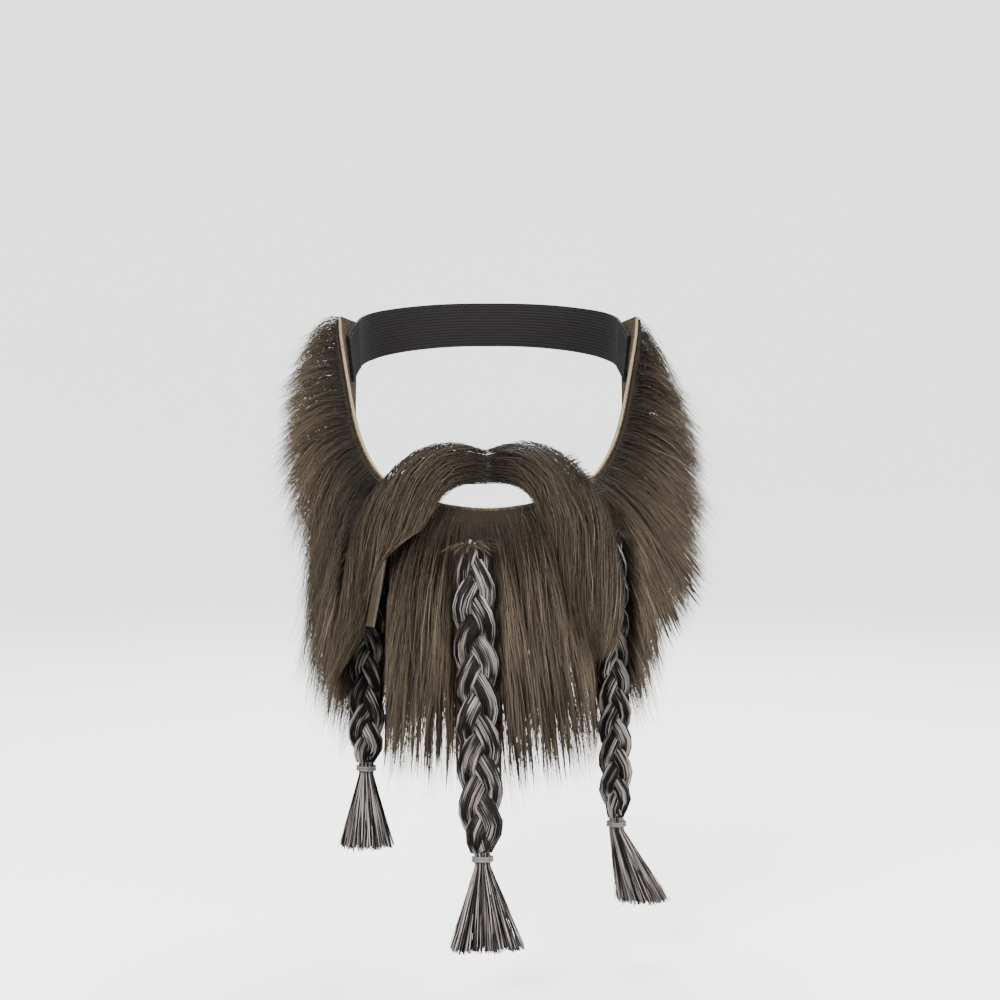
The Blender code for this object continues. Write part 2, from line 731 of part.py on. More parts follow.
def main():
    for old in list(bpy.data.objects):
        bpy.data.objects.remove(old)
    knit = principled("panel_knit", (0.10, 0.075, 0.052), 0.9)
    fur = principled("brown_fur", (0.105, 0.080, 0.056), 0.7)
    strip_cloth = principled("strip_cloth", (0.42, 0.36, 0.26), 0.9)
    plait_hair = principled("plait_hair", (0.09, 0.085, 0.085), 0.45)
    tie_rubber = principled("tie_rubber", (0.45, 0.44, 0.43), 0.5)
    elastic = principled("black_elastic", (0.02, 0.018, 0.017), 0.85)

    make_panel(knit)
    beds = [plait_bed(side, BED_GAP, FUR_LENGTH) for side in PLAITS]
    beds.append(strip_solid("strip_bed", SEAM_GAP, ahead=FUR_LENGTH))
    for side in WINGS:
        beds.append(bed("wing_bed", wing_rings(side, BED_GAP, FUR_LENGTH)))
        beds += [bed("wisp_bed", rings) for rings in wisps_of(side, BED_GAP, FUR_LENGTH)]
    make_fur(fur, beds)
    strip_solid("moustache_strip", 0.0, strip_cloth)
    for side in WINGS:
        cutters = [strip_solid(f"strip_cut_{side}", SEAM_GAP, behind=WING_DEPTH), middle_cut(side)]
        cutters.append(plait_bed(side, SEAM_GAP))
        make_wing(side, fur, cutters)
    for side in PLAITS:
        make_plait(side, plait_hair)
        make_tie(side, tie_rubber)
        make_brush(side, plait_hair)
    make_strap(elastic)


main()
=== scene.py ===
"""A costume beard as it is worn: deep brown pile on a knitted panel, a long moustache on a woven tape,
three tied plaits with brush ends, and an elastic strap for the back of the head.

Metres, +Z up. The face looks along -Y and +X is the wearer's left. Left and right are the wearer's.
"""

import math
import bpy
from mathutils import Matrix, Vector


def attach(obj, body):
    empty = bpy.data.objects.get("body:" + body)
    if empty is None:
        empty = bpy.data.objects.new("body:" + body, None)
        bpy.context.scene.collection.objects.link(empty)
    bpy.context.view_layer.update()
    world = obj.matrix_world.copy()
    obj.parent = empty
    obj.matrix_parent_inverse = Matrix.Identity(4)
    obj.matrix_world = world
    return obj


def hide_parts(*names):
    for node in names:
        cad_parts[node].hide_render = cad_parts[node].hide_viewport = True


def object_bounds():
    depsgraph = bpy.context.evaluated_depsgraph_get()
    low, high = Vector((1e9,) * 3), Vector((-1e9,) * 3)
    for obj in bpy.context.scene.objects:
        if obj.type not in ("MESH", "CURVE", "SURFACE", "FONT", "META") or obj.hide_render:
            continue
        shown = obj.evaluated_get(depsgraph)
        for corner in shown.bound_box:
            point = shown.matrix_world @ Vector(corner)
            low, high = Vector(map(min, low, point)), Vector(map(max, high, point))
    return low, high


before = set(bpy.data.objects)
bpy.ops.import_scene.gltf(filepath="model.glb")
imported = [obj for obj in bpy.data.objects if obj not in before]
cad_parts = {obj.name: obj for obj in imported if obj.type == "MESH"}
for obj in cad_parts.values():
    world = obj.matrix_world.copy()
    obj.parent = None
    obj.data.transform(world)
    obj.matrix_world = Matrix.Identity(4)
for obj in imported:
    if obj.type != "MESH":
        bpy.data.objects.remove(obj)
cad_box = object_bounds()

from types import SimpleNamespace

import bmesh
import bpy
import numpy as np
from mathutils import Vector

# The wearer's face, which the panel is shaped to
FACE_HALF_WIDTH = 0.075
EAR_DEPTH = 0.108
SIDEBURN_RISE = 0.091
CHIN_DROP = 0.057
JAW_BULGE = 0.017

# Knitted panel and its cut edge
PANEL_THICKNESS = 0.002
PANEL_CELLS = (150, 18)
WALE_PITCH = 0.0013
COURSE_PITCH = 0.0010
EDGE_STATIONS = 600
EDGE_THREAD_RADIUS = 0.00027
EDGE_THREAD_GAP = 0.0003
EDGE_LOOP_PITCH = 0.0016
EDGE_LOOP_SIZE = 0.0007

# Pile: where each part of it starts and ends along the panel, and how its hairs are laid
CHIN_REACH = 0.36
PILES = {
    "right": dict(ends=(-1.0, -CHIN_REACH), hairs=4900, locks=170, steps=6, wander=0.00075, seed=21),
    "chin": dict(ends=(-CHIN_REACH, CHIN_REACH), hairs=7200, locks=330, steps=5, wander=0.00050, seed=22),
    "left": dict(ends=(CHIN_REACH, 1.0), hairs=4750, locks=190, steps=6, wander=0.00075, seed=23),
}
HAIR_RADIUS = 0.00011
UNDER_LOCKS = 430
UNDER_REACH = (-0.56, 0.50)
UNDER_RADIUS = 0.001
COAT_CELLS = (130, 16)
COAT_BASE = 0.0024
COAT_DEPTH = 0.0040
BED_SOFTNESS = 0.005
BOX_ROOM = 0.005
BOX_SOFTNESS = 0.008

# Moustache
TAPE_WIDTH = 0.012
TAPE_THICKNESS = 0.0015
TAPE_CELLS = (120, 8)
WING_HAIRS = 2830
WING_LOCKS = 170
WING_STEPS = 7
WING_WIDTH = 0.028
WING_DEPTH = 0.014
TUFT_HAIRS = 150

# Plaits, their ties and brush ends
STRAND_WIDTH = 0.0084
STRAND_THICKNESS = 0.0068
PLAIT_SWING = 0.0049
PLAIT_WEAVE = 0.0024
PLAIT_TURN = 0.048
GATHERED_SHARE = 0.40
THIN_SHARE = 0.68
CORE_SIZE = 0.44
CORE_SIDES = 12
STRAND_HAIRS = 62
STRAND_HAIR_RADIUS = 0.00020
STRAND_STEPS = 34
FRAYED_HAIRS = 70
FRAYED_RADIUS = 0.00014
NECK_RADIUS = 0.0036
NECK_LENGTH = 0.0060
TIE_TURNS = 3
TIE_STEPS = 24
TIE_PITCH = 1.7
TIE_WIRE_RADIUS = 0.00055
BRUSH_LENGTH = 0.034
BRUSH_SPREAD = 0.014
BRUSH_DEPTH = 0.006
BRUSH_HAIRS = 690
BRUSH_LOCKS = 26
BRUSH_HAIR_RADIUS = 0.00022

# Elastic head strap
STRAP_WIDTH = 0.025
STRAP_THICKNESS = 0.0013
STRAP_CELLS_ACROSS = 10
STRAP_STEPS = 61
SEWN_STEPS = 9
TWIST_STEPS = 10
STITCHED_STEPS = 7
HEAD_BACK = np.array((0.0, 0.179, 0.100))
HEAD_HOLLOW = np.array((0.0, 0.06, 0.09))
SEAM_GAP = 0.0004

# Camera and room: each light's place, size and power
CAMERA_PLACE = (0.0059, -0.600, -0.0023)
CAMERA_LENS = 48.0
LIGHTS = {
    "key": ((-0.75, -1.15, 0.95), 0.9, 50.0),
    "fill": ((1.0, -1.0, 0.35), 1.0, 32.0),
    "top": ((0.1, 0.7, 1.3), 0.9, 38.0),
}
LIGHT_AIM = Vector((0.0, 0.03, -0.03))
WORLD_STRENGTH = 1.05
FLOOR_SIDES = 64
FLOOR_RADII = np.array((0.001, 0.5, 1.2, 2.0, 2.5, 2.9, 3.15, 3.25, 3.3, 3.3))
FLOOR_LEVELS = np.array((0.0, 0.0, 0.0, 0.0, 0.06, 0.25, 0.6, 1.1, 1.8, 2.8)) - 0.215

DOWN = np.array((0.0, 0.0, -1.0))
FRONT = np.array((0.0, -1.0, 0.0))


# Tables and shapes shared with the solids

class Rows:
    """A table read smoothly between its evenly spaced rows. A column named _xyz holds three numbers.

    A mirrored table runs from one side through the middle, its first row, to the other side.
    """

    def __init__(self, columns, rows, mirror=False):
        self.columns = [(name.removesuffix("_xyz"), name.endswith("_xyz")) for name in columns.split()]
        self.values = np.array(rows, float)
        if mirror:
            sign = sum(([-1, 1, 1] if triple else [1] for _, triple in self.columns), [])
            self.values = np.concatenate([self.values[:0:-1] * sign, self.values])

    def at(self, share):
        last = len(self.values) - 1
        spot = np.clip(np.asarray(share, float), 0.0, 1.0) * last
        first = np.minimum(spot.astype(int), last - 1)
        t = (spot - first)[..., None]
        before, start, end, after = (
            self.values[np.clip(first + step, 0, last)] for step in (-1, 0, 1, 2)
        )
        value = start + 0.5 * t * (
            end - before
            + t * (2 * before - 5 * start + 4 * end - after
                   + t * (3 * (start - end) + after - before))
        )
        found = {}
        column = 0
        for name, triple in self.columns:
            found[name] = value[..., column:column + 3] if triple else value[..., column]
            column += 3 if triple else 1
        return SimpleNamespace(**found)


# Panel sections from the chin to the top of a sideburn, as shares of the face's sizes
PANEL = Rows("inner_xyz outer_xyz bulge", (
    (0.000, 0.000, -0.12, 0.000, 0.250, -1.00, 1.00),
    (0.187, 0.020, -0.10, 0.267, 0.287, -0.97, 0.98),
    (0.360, 0.074, -0.05, 0.493, 0.417, -0.83, 0.90),
    (0.520, 0.176, 0.022, 0.680, 0.611, -0.63, 0.70),
    (0.653, 0.278, 0.093, 0.827, 0.815, -0.35, 0.50),
    (0.760, 0.380, 0.214, 0.900, 0.935, 0.022, 0.32),
    (0.847, 0.490, 0.380, 0.935, 0.990, 0.264, 0.20),
    (0.920, 0.611, 0.626, 0.940, 1.000, 0.550, 0.10),
    (0.980, 0.694, 0.879, 0.930, 0.980, 0.868, 0.03),
    (0.993, 0.722, 1.000, 0.927, 0.926, 1.000, 0.00),
), mirror=True)

# How the pile runs, from the top of the right sideburn through the chin to the top of the left one:
# the direction in which a hair leaves the knit, the direction of its tip, and its length in millimetres
NAP = Rows("start_xyz end_xyz length", (
    (-0.70, 0.25, 0.35, -0.55, 0.30, -0.80, 23),
    (-0.90, 0.15, 0.35, -0.65, 0.30, -0.75, 33),
    (-0.95, 0.05, 0.25, -0.75, 0.30, -0.65, 42),
    (-0.95, -0.05, 0.05, -0.55, 0.25, -0.95, 46),
    (-0.62, -0.34, -0.50, -0.06, 0.12, -1.00, 52),
    (-0.42, -0.50, -0.65, -0.02, 0.05, -1.00, 68),
    (-0.34, -0.62, -0.70, -0.10, 0.02, -1.00, 80),
    (-0.22, -0.70, -0.70, -0.10, -0.04, -1.00, 82),
    (-0.10, -0.70, -0.72, -0.04, -0.08, -1.00, 82),
    (0.04, -0.70, -0.74, 0.05, -0.10, -1.00, 83),
    (0.24, -0.70, -0.70, 0.10, -0.08, -1.00, 82),
    (0.44, -0.62, -0.62, 0.14, -0.04, -1.00, 75),
    (0.50, -0.55, -0.60, 0.16, 0.02, -1.00, 64),
    (0.62, -0.42, -0.52, 0.55, 0.12, -0.90, 58),
    (0.82, -0.22, -0.36, 0.62, 0.20, -0.80, 54),
    (0.92, -0.02, -0.10, 0.62, 0.25, -0.75, 50),
    (0.90, 0.08, 0.05, 0.62, 0.28, -0.70, 43),
    (0.70, 0.15, -0.45, 0.45, 0.28, -0.85, 34),
    (0.50, 0.22, -0.60, 0.35, 0.28, -0.90, 25),
))

# The tape from the middle of the upper lip to the tip of a wing
TAPE_HALF = Rows("mid_xyz facing_xyz width", (
    (0.000, -0.045, 0.130, 0.00, -1.0, 0.0, 1.00),
    (0.220, -0.036, 0.122, 0.12, -1.0, 0.0, 1.00),
    (0.400, 0.020, 0.072, 0.45, -1.0, 0.0, 0.95),
    (0.560, 0.075, -0.050, 0.62, -1.0, 0.0, 0.90),
    (0.655, 0.080, -0.380, 0.40, -1.0, 0.0, 0.85),
    (0.705, 0.085, -0.760, 0.20, -1.0, 0.0, 0.80),
    (0.735, 0.090, -1.050, 0.15, -1.0, 0.0, 0.62),
))

# The hair of each wing from the middle of the lip to its point
WINGS = {
    "right": Rows("mid_xyz width depth", (
        (-0.006, -0.098, 0.150, 0.60, 0.62),
        (-0.230, -0.095, 0.135, 0.85, 0.95),
        (-0.440, -0.060, 0.030, 0.98, 1.00),
        (-0.615, -0.030, -0.260, 1.00, 1.00),
        (-0.715, -0.005, -0.620, 0.80, 0.90),
        (-0.795, 0.015, -0.940, 0.58, 0.75),
        (-0.880, 0.025, -1.230, 0.32, 0.45),
        (-0.965, 0.030, -1.500, 0.06, 0.10),
    )),
    "left": Rows("mid_xyz width depth", (
        (0.006, -0.098, 0.150, 0.60, 0.62),
        (0.215, -0.095, 0.140, 0.85, 0.95),
        (0.410, -0.060, 0.050, 0.98, 1.00),
        (0.555, -0.030, -0.210, 1.05, 1.00),
        (0.620, -0.005, -0.560, 1.05, 0.90),
        (0.665, 0.015, -0.880, 0.95, 0.75),
        (0.690, 0.025, -1.180, 0.60, 0.50),
        (0.686, 0.030, -1.340, 0.06, 0.10),
    )),
}
# Where the right wing's hair ends beside the bare end of the tape: heights and the x that it keeps to
TAPE_CLEAR_Z = (-0.064, -0.050, -0.036, -0.025, -0.010)
TAPE_CLEAR_X = (-0.0560, -0.0535, -0.0510, -0.0440, -0.0200)

PLAITS = {
    "right": dict(top=(-0.745, 0.196, -0.44), tie=(-0.752, 0.196, -2.17), size=0.93,
                  lean=0.00, spread=0.80, brush=1.00),
    "middle": dict(top=(-0.078, -0.185, -0.36), tie=(-0.022, -0.300, -2.66), size=1.06,
                   lean=0.02, spread=1.00, brush=1.04),
    "left": dict(top=(0.772, 0.190, -0.28), tie=(0.800, 0.190, -2.62), size=0.86,
                 lean=0.36, spread=0.74, brush=1.05),
}

# The strap's run from the panel's rear edge round to the middle of the back of the head
STRAP = Rows("run_xyz", (
    (0.000, 0.00, 0.00),
    (0.000, 0.17, 0.15),
    (0.030, 0.38, 0.34),
    (0.120, 0.58, 0.55),
    (0.290, 0.77, 0.75),
    (0.520, 0.90, 0.90),
    (0.760, 0.975, 0.98),
    (1.000, 1.00, 1.00),
))
STRAP_SEWN = Rows("along down", ((0.845, 0.42), (0.870, 0.71), (0.895, 1.00)))


def unit(vectors):
    return vectors / np.maximum(np.linalg.norm(vectors, axis=-1, keepdims=True), 1e-12)


def facing(vectors, way):
    """The vectors, turned over where they point against the way given."""
    return vectors * np.sign(np.sum(vectors * way, -1, keepdims=True))


def smooth(share):
    share = np.clip(share, 0.0, 1.0)
    return share * share * (3 - 2 * share)


def place(point):
    """A point of the face: up counts in sideburn rises above the mouth and chin drops below it."""
    across, back, up = np.moveaxis(np.asarray(point, float), -1, 0)
    rise = np.where(up >= 0, SIDEBURN_RISE, CHIN_DROP)
    return np.stack([across * FACE_HALF_WIDTH, back * EAR_DEPTH, up * rise], -1)


HEAD_MIDDLE = place((0.0, 0.6, 0.1))


def panel_edges(station):
    row = PANEL.at((station + 1) / 2)
    return place(row.inner), place(row.outer), (row.bulge * JAW_BULGE)[..., None]


def panel_point(along, down):
    along, share = np.asarray(along, float), np.asarray(down, float)[..., None]
    inner, outer, bulge = panel_edges(along)
    step = 0.02
    ahead = np.add(*panel_edges(np.minimum(along + step, 1.0))[:2])
    behind = np.add(*panel_edges(np.maximum(along - step, -1.0))[:2])
    away = facing(unit(np.cross(ahead - behind, outer - inner)), (inner + outer) / 2 - HEAD_MIDDLE)
    return inner + (outer - inner) * share + away * bulge * 4 * share * (1 - share)


def panel_frame(along, down):
    """Points of the panel's inner face and the normals there, pointing away from the head."""
    along, down = np.asarray(along, float), np.asarray(down, float)
    step = 0.01
    along_way = (panel_point(np.minimum(along + step, 1.0), down)
                 - panel_point(np.maximum(along - step, -1.0), down))
    down_way = (panel_point(along, np.minimum(down + step, 1.0))
                - panel_point(along, np.maximum(down - step, 0.0)))
    here = panel_point(along, down)
    return here, facing(unit(np.cross(along_way, down_way)), here - HEAD_MIDDLE)


def panel_grid(cells, edge=0.0):
    """Stations along and down the panel, with a bare edge all round."""
    return np.meshgrid(np.linspace(-1 + edge, 1 - edge, cells[0]),
                       np.linspace(edge, 1 - edge, cells[1]), indexing="ij")


# Shader and geometry nodes

class NodeWork:
    """Adds nodes to a tree and joins them up."""

    def __init__(self, tree):
        self.tree = tree

    def node(self, kind, settings=None, values=None):
        made = self.tree.nodes.new(kind)
        for name, setting in (settings or {}).items():
            setattr(made, name, setting)
        for name, value in (values or {}).items():
            self.feed(made.inputs[name], value)
        return made

    def feed(self, socket, value):
        source = getattr(value, "socket", value)
        if isinstance(source, bpy.types.NodeSocket):
            self.tree.links.new(source, socket)
        else:
            socket.default_value = source


class Value:
    """A number in a shader, which sums and products turn into Math nodes."""

    def __init__(self, work, socket):
        self.work = work
        self.socket = socket

    def math(self, operation, *others):
        made = self.work.node("ShaderNodeMath", {"operation": operation},
                              dict(enumerate((self, *others))))
        return Value(self.work, made.outputs[0])

    def __add__(self, other):
        return self.math("ADD", other)

    def __sub__(self, other):
        return self.math("SUBTRACT", other)

    def __mul__(self, other):
        return self.math("MULTIPLY", other)

    def __truediv__(self, other):
        return self.math("DIVIDE", other)

    def __rsub__(self, other):
        return self.math("MULTIPLY", -1.0) + other

    __radd__ = __add__
    __rmul__ = __mul__

    def wave(self):
        """A sine of whole turns, from 0 to 1."""
        return (self * (2 * math.pi)).math("SINE") * 0.5 + 0.5

    def rise(self, low, high):
        """0 below low, 1 above high, smooth between."""
        made = self.work.node("ShaderNodeMapRange", {"interpolation_type": "SMOOTHSTEP"},
                              {"Value": self, "From Min": low, "From Max": high})
        return Value(self.work, made.outputs["Result"])


class Finish(NodeWork):
    """A material with its shader, fed by nodes."""

    def __init__(self, name, specular, glow=0.0):
        self.material = bpy.data.materials.new(name)
        self.material.use_nodes = True
        super().__init__(self.material.node_tree)
        self.tree.nodes.clear()
        self.shader = self.node("ShaderNodeBsdfPrincipled",
                                values={"Specular IOR Level": specular, "Emission Strength": glow})
        self.node("ShaderNodeOutputMaterial", values={"Surface": self.shader.outputs[0]})

    def on_map(self, name):
        """The two coordinates of a piece's own map."""
        parts = self.node("ShaderNodeSeparateXYZ",
                          values={0: self.node("ShaderNodeUVMap", {"uv_map": name}).outputs[0]})
        return Value(self, parts.outputs[0]), Value(self, parts.outputs[1])

    def on_object(self):
        return self.node("ShaderNodeTexCoord").outputs["Object"]

    def point(self, x, y, z=0.0):
        return self.node("ShaderNodeCombineXYZ", values={0: x, 1: y, 2: z}).outputs[0]

    def noise(self, where, scale=1.0, detail=2.0, rough=0.5):
        made = self.node("ShaderNodeTexNoise", values={"Vector": where, "Scale": scale, "Detail": detail,
                                                       "Roughness": rough})
        return Value(self, made.outputs["Fac"])

    def mix(self, share, low, high):
        made = self.node("ShaderNodeMix", {"data_type": "RGBA"})
        for index, value in ((0, share), (6, low), (7, high)):
            self.feed(made.inputs[index], (*value, 1.0) if isinstance(value, tuple) else value)
        return made.outputs[2]

    def paint(self, colour, roughness, height=None, depth=0.001, strength=1.0):
        self.feed(self.shader.inputs["Base Color"], colour)
        self.feed(self.shader.inputs["Roughness"], roughness)
        if height is not None:
            bump = self.node("ShaderNodeBump", values={"Height": height, "Distance": depth,
                                                       "Strength": strength})
            self.feed(self.shader.inputs["Normal"], bump.outputs[0])
        return self.material


def brown_hair_finish(name, root, body, tip, pale):
    """Synthetic fur: a hair's tone runs across the map and its length runs up it."""
    finish = Finish(name, 0.28)
    tone, run = finish.on_map("OFBake")
    strand = finish.noise(finish.point(tone * 190.0, 0.5), detail=0.0)
    patch = finish.noise(finish.point(tone * 46.0, run * 2.6), detail=2.0)
    # Painted shade: each hair darkens towards its root, where it lies deep in the pile.
    colour = finish.mix(run.rise(0.02, 0.50) * 0.7 + patch * 0.3, root, body)
    colour = finish.mix(run.rise(0.25, 0.95) * strand.rise(0.4, 0.62), colour, tip)
    colour = finish.mix(tone.rise(0.86, 0.96) * run.rise(0.15, 0.7) * 0.8, colour, pale)
    colour = finish.mix((1.0 - tone.rise(0.04, 0.42)) * 0.8, colour, root)
    return finish.paint(colour, patch * 0.25 + 0.38)


def plait_hair_finish(name, changes):
    """Smooth false hair in black and silver-grey streaks, which change so many times along a hair."""
    finish = Finish(name, 0.16)
    tone, run = finish.on_map("OFBake")
    streak = finish.noise(finish.point(tone * 26.0, run * changes), detail=1.5)
    single = finish.noise(finish.point(tone * 420.0, run * changes * 0.3, 4.0), detail=0.0)
    warm = finish.noise(finish.point(tone * 60.0, run * 2.0, 9.0), detail=1.0)
    grey = finish.mix(warm.rise(0.45, 0.7), (0.40, 0.37, 0.35), (0.23, 0.185, 0.158))
    black = finish.mix(single, (0.003, 0.0024, 0.003), (0.014, 0.0095, 0.0095))
    share = (streak * 0.7 + single * 0.3).rise(0.485, 0.58)
    return finish.paint(finish.mix(share, black, grey), single * 0.15 + 0.33)


def knit_finish():
    """Brown knit with its wales and courses in relief, mottled as dyed backing is, with painted highlight
    on the tops of the loops.
    """
    finish = Finish("mottled_knit", 0.15)
    along, down = finish.on_map("knit")
    wale = (along / WALE_PITCH).wave()
    slant = ((along / WALE_PITCH).math("FRACT") - 0.5).math("ABSOLUTE")
    course = (down / COURSE_PITCH + slant * 0.9).wave()
    fuzz = finish.noise(finish.point(along, down), 2600.0, 3.0)
    blotch = finish.noise(finish.point(along, down), 320.0, 3.0, 0.6)
    height = wale * 0.45 + course * 0.55 + fuzz * 0.25
    colour = finish.mix(blotch.rise(0.38, 0.66), (0.034, 0.0235, 0.0145), (0.080, 0.056, 0.035))
    # Painted highlight: the tops of the loops are lighter, the hollows between them darker.
    colour = finish.mix((wale * course).rise(0.35, 0.9) * 0.45, colour, (0.15, 0.11, 0.072))
    return finish.paint(colour, 0.92 - fuzz * 0.15, height, 0.0004, 0.9)


def shaded_coat_finish():
    """The dense foot of the pile, painted near black as the shade deep between the hairs."""
    finish = Finish("pile_foot_shade", 0.15)
    spot = finish.on_object()
    fine = finish.noise(spot, 900.0, 3.0)
    broad = finish.noise(spot, 90.0, 2.0)
    # The near-black colour is painted shade.
    colour = finish.mix(fine * 0.7 + broad * 0.3, (0.006, 0.0044, 0.003), (0.026, 0.019, 0.0125))
    return finish.paint(colour, 0.95 - fine * 0.1, fine, 0.0008)


def tape_finish():
    """Cream tape in plain weave, with a corded edge on both sides. Its colour follows the weave's relief:
    painted shade in the hollows, painted highlight on the raised threads.
    """
    finish = Finish("cream_woven_tape", 0.25)
    along, across = finish.on_map("weave")
    warp = (across / 0.0009).wave()
    weft = (along / 0.0008 + (across / 0.0018).math("FRACT").rise(0.45, 0.55) * 0.5).wave()
    rim = ((across - 0.5 * TAPE_WIDTH).math("ABSOLUTE")).rise(0.0042, 0.0052)
    wear = finish.noise(finish.point(along, across), 420.0, 3.0)
    height = (warp * 0.5 + 0.5) * weft + rim * 0.6
    # Painted shade and highlight: darker in the weave's hollows, lighter on its raised threads.
    colour = finish.mix(height.rise(0.1, 0.9), (0.33, 0.26, 0.165), (0.66, 0.565, 0.41))
    colour = finish.mix(wear.rise(0.5, 0.8) * 0.4, colour, (0.34, 0.26, 0.16))
    colour = finish.mix(rim * 0.6, colour, (0.74, 0.66, 0.51))
    return finish.paint(colour, 0.88 - wear * 0.1, height, 0.0003)


def thread_finish(name, dark, light):
    """Twisted sewing thread, a little browned by the fur."""
    finish = Finish(name, 0.3)
    spot = finish.on_object()
    strand = finish.noise(spot, 2200.0, 2.0)
    stain = finish.noise(spot, 140.0, 3.0, 0.6)
    colour = finish.mix(strand, dark, light)
    colour = finish.mix(stain.rise(0.52, 0.75) * 0.7, colour, dark)
    return finish.paint(colour, 0.85 - strand * 0.1, strand, 0.0003)


def elastic_finish():
    """Black elastic: cords along it under close ribs across it, painted lighter on their tops and in shade
    between them.
    """
    finish = Finish("black_ribbed_elastic", 0.2)
    along, across = finish.on_map("weave")
    cord = (across / 0.00165).wave()
    rib = (along / 0.00085 + (across / 0.0033).math("FRACT").rise(0.48, 0.52) * 0.5).wave()
    lint = finish.noise(finish.point(along, across), 900.0, 4.0, 0.6)
    height = cord * 0.6 + rib * 0.4
    # Painted highlight on the raised cords and ribs, painted shade between them.
    colour = finish.mix(height, (0.003, 0.0025, 0.0025), (0.016, 0.014, 0.0135))
    colour = finish.mix(lint.rise(0.66, 0.8) * 0.4, colour, (0.05, 0.045, 0.042))
    return finish.paint(colour, 0.74 + lint * 0.15, height, 0.0004)


def tie_finish():
    """Thin clear-grey rubber, a little cloudy and dusty."""
    finish = Finish("grey_tie_rubber", 0.5)
    cloud = finish.noise(finish.on_object(), 500.0, 3.0)
    colour = finish.mix(cloud, (0.065, 0.06, 0.056), (0.16, 0.152, 0.143))
    return finish.paint(colour, cloud * 0.25 + 0.3, cloud, 0.0002)


def core_finish():
    """The shaded inside of a strand, streaked along it."""
    finish = Finish("strand_core", 0.2)
    fine = finish.noise(finish.on_object(), 1500.0, 2.0)
    colour = finish.mix(fine.rise(0.4, 0.7), (0.003, 0.0025, 0.0025), (0.022, 0.018, 0.017))
    return finish.paint(colour, 0.5 + fine * 0.2, fine, 0.0004)


def floor_finish():
    finish = Finish("pale_floor", 0.1, 1.1)
    grain = finish.noise(finish.on_object(), 3.0, 2.0)
    colour = finish.mix(grain, (0.91, 0.91, 0.905), (0.94, 0.94, 0.935))
    return finish.paint(colour, 0.95 - grain * 0.05)


def follow_tree():
    """Geometry nodes that lay a round thread along each edge line of a mesh."""
    tree = bpy.data.node_groups.new("thread_along_lines", "GeometryNodeTree")
    for name, kind in (("Geometry", "Geometry"), ("Thickness", "Float"), ("Sides", "Int"),
                       ("Material", "Material")):
        tree.interface.new_socket(name, in_out="INPUT", socket_type="NodeSocket" + kind)
    tree.interface.new_socket("Geometry", in_out="OUTPUT", socket_type="NodeSocketGeometry")
    work = NodeWork(tree)
    given = work.node("NodeGroupInput").outputs
    width = work.node("GeometryNodeInputNamedAttribute", {"data_type": "FLOAT"}, {"Name": "width"})
    radius = work.node("ShaderNodeMath", {"operation": "MULTIPLY"},
                       {0: width.outputs[0], 1: given["Thickness"]})
    lines = work.node("GeometryNodeMeshToCurve", values={0: given["Geometry"]})
    ring = work.node("GeometryNodeCurvePrimitiveCircle", {"mode": "RADIUS"},
                     {"Resolution": given["Sides"], "Radius": 1.0})
    side = work.node("ShaderNodeMath", {"operation": "DIVIDE"},
                     {0: work.node("GeometryNodeInputIndex").outputs[0], 1: given["Sides"]})
    marked = work.node("GeometryNodeStoreNamedAttribute", {"data_type": "FLOAT", "domain": "POINT"},
                       {"Geometry": ring.outputs[0], "Name": "side", "Value": side.outputs[0]})
    swept = work.node("GeometryNodeCurveToMesh", values={0: lines.outputs[0], 1: marked.outputs[0],
                                                         "Scale": radius.outputs[0], "Fill Caps": True})
    shaded = work.node("GeometryNodeSetShadeSmooth", values={0: swept.outputs[0]})
    real = work.node("GeometryNodeRealizeInstances", values={0: shaded.outputs[0]})
    done = work.node("GeometryNodeSetMaterial", values={0: real.outputs[0], "Material": given["Material"]})
    work.node("NodeGroupOutput", values={0: done.outputs[0]})
    return tree


# Mesh helpers

def new_object(name, mesh, material=None):
    made = bpy.data.objects.new(name, mesh)
    bpy.context.scene.collection.objects.link(made)
    if material is not None:
        mesh.materials.append(material)
    return made


def face_mesh(name, points, faces):
    mesh = bpy.data.meshes.new(name)
    mesh.from_pydata(np.asarray(points).reshape(-1, 3).tolist(), [], faces)
    return mesh


def plain(made):
    """The object with its modifiers applied."""
    made.data = bpy.data.meshes.new_from_object(
        made.evaluated_get(bpy.context.evaluated_depsgraph_get()))
    made.modifiers.clear()
    return made


def turn_outwards(made):
    shape = bmesh.new()
    shape.from_mesh(made.data)
    bmesh.ops.recalc_face_normals(shape, faces=shape.faces)
    shape.to_mesh(made.data)
    shape.free()


def corner_points(mesh):
    """The number of the point at each face corner."""
    corners = np.empty(len(mesh.loops), np.int32)
    mesh.loops.foreach_get("vertex_index", corners)
    return corners


def per_corner(mesh, name):
    """A point attribute of a mesh, read at each face corner."""
    numbers = np.empty(len(mesh.vertices), np.float32)
    mesh.attributes[name].data.foreach_get("value", numbers)
    return numbers[corner_points(mesh)]


def lay_map(mesh, name, values):
    mesh.uv_layers.new(name=name).data.foreach_set("uv", values.astype(np.float32).ravel())


def lay_hair_map(mesh):
    """A map with a hair's tone across it and the way from root to tip up it."""
    tone, run, side = (per_corner(mesh, name) for name in ("tone", "run", "side"))
    across = tone + (side - 0.33) * 0.004
    up = 0.01 + 0.97 * run
    sizes = np.empty(len(mesh.polygons), np.int32)
    starts = np.empty(len(mesh.polygons), np.int32)
    mesh.polygons.foreach_get("loop_total", sizes)
    mesh.polygons.foreach_get("loop_start", starts)
    up[starts[sizes == 3]] += 0.006
    lay_map(mesh, "OFBake", np.stack([across, up], 1))


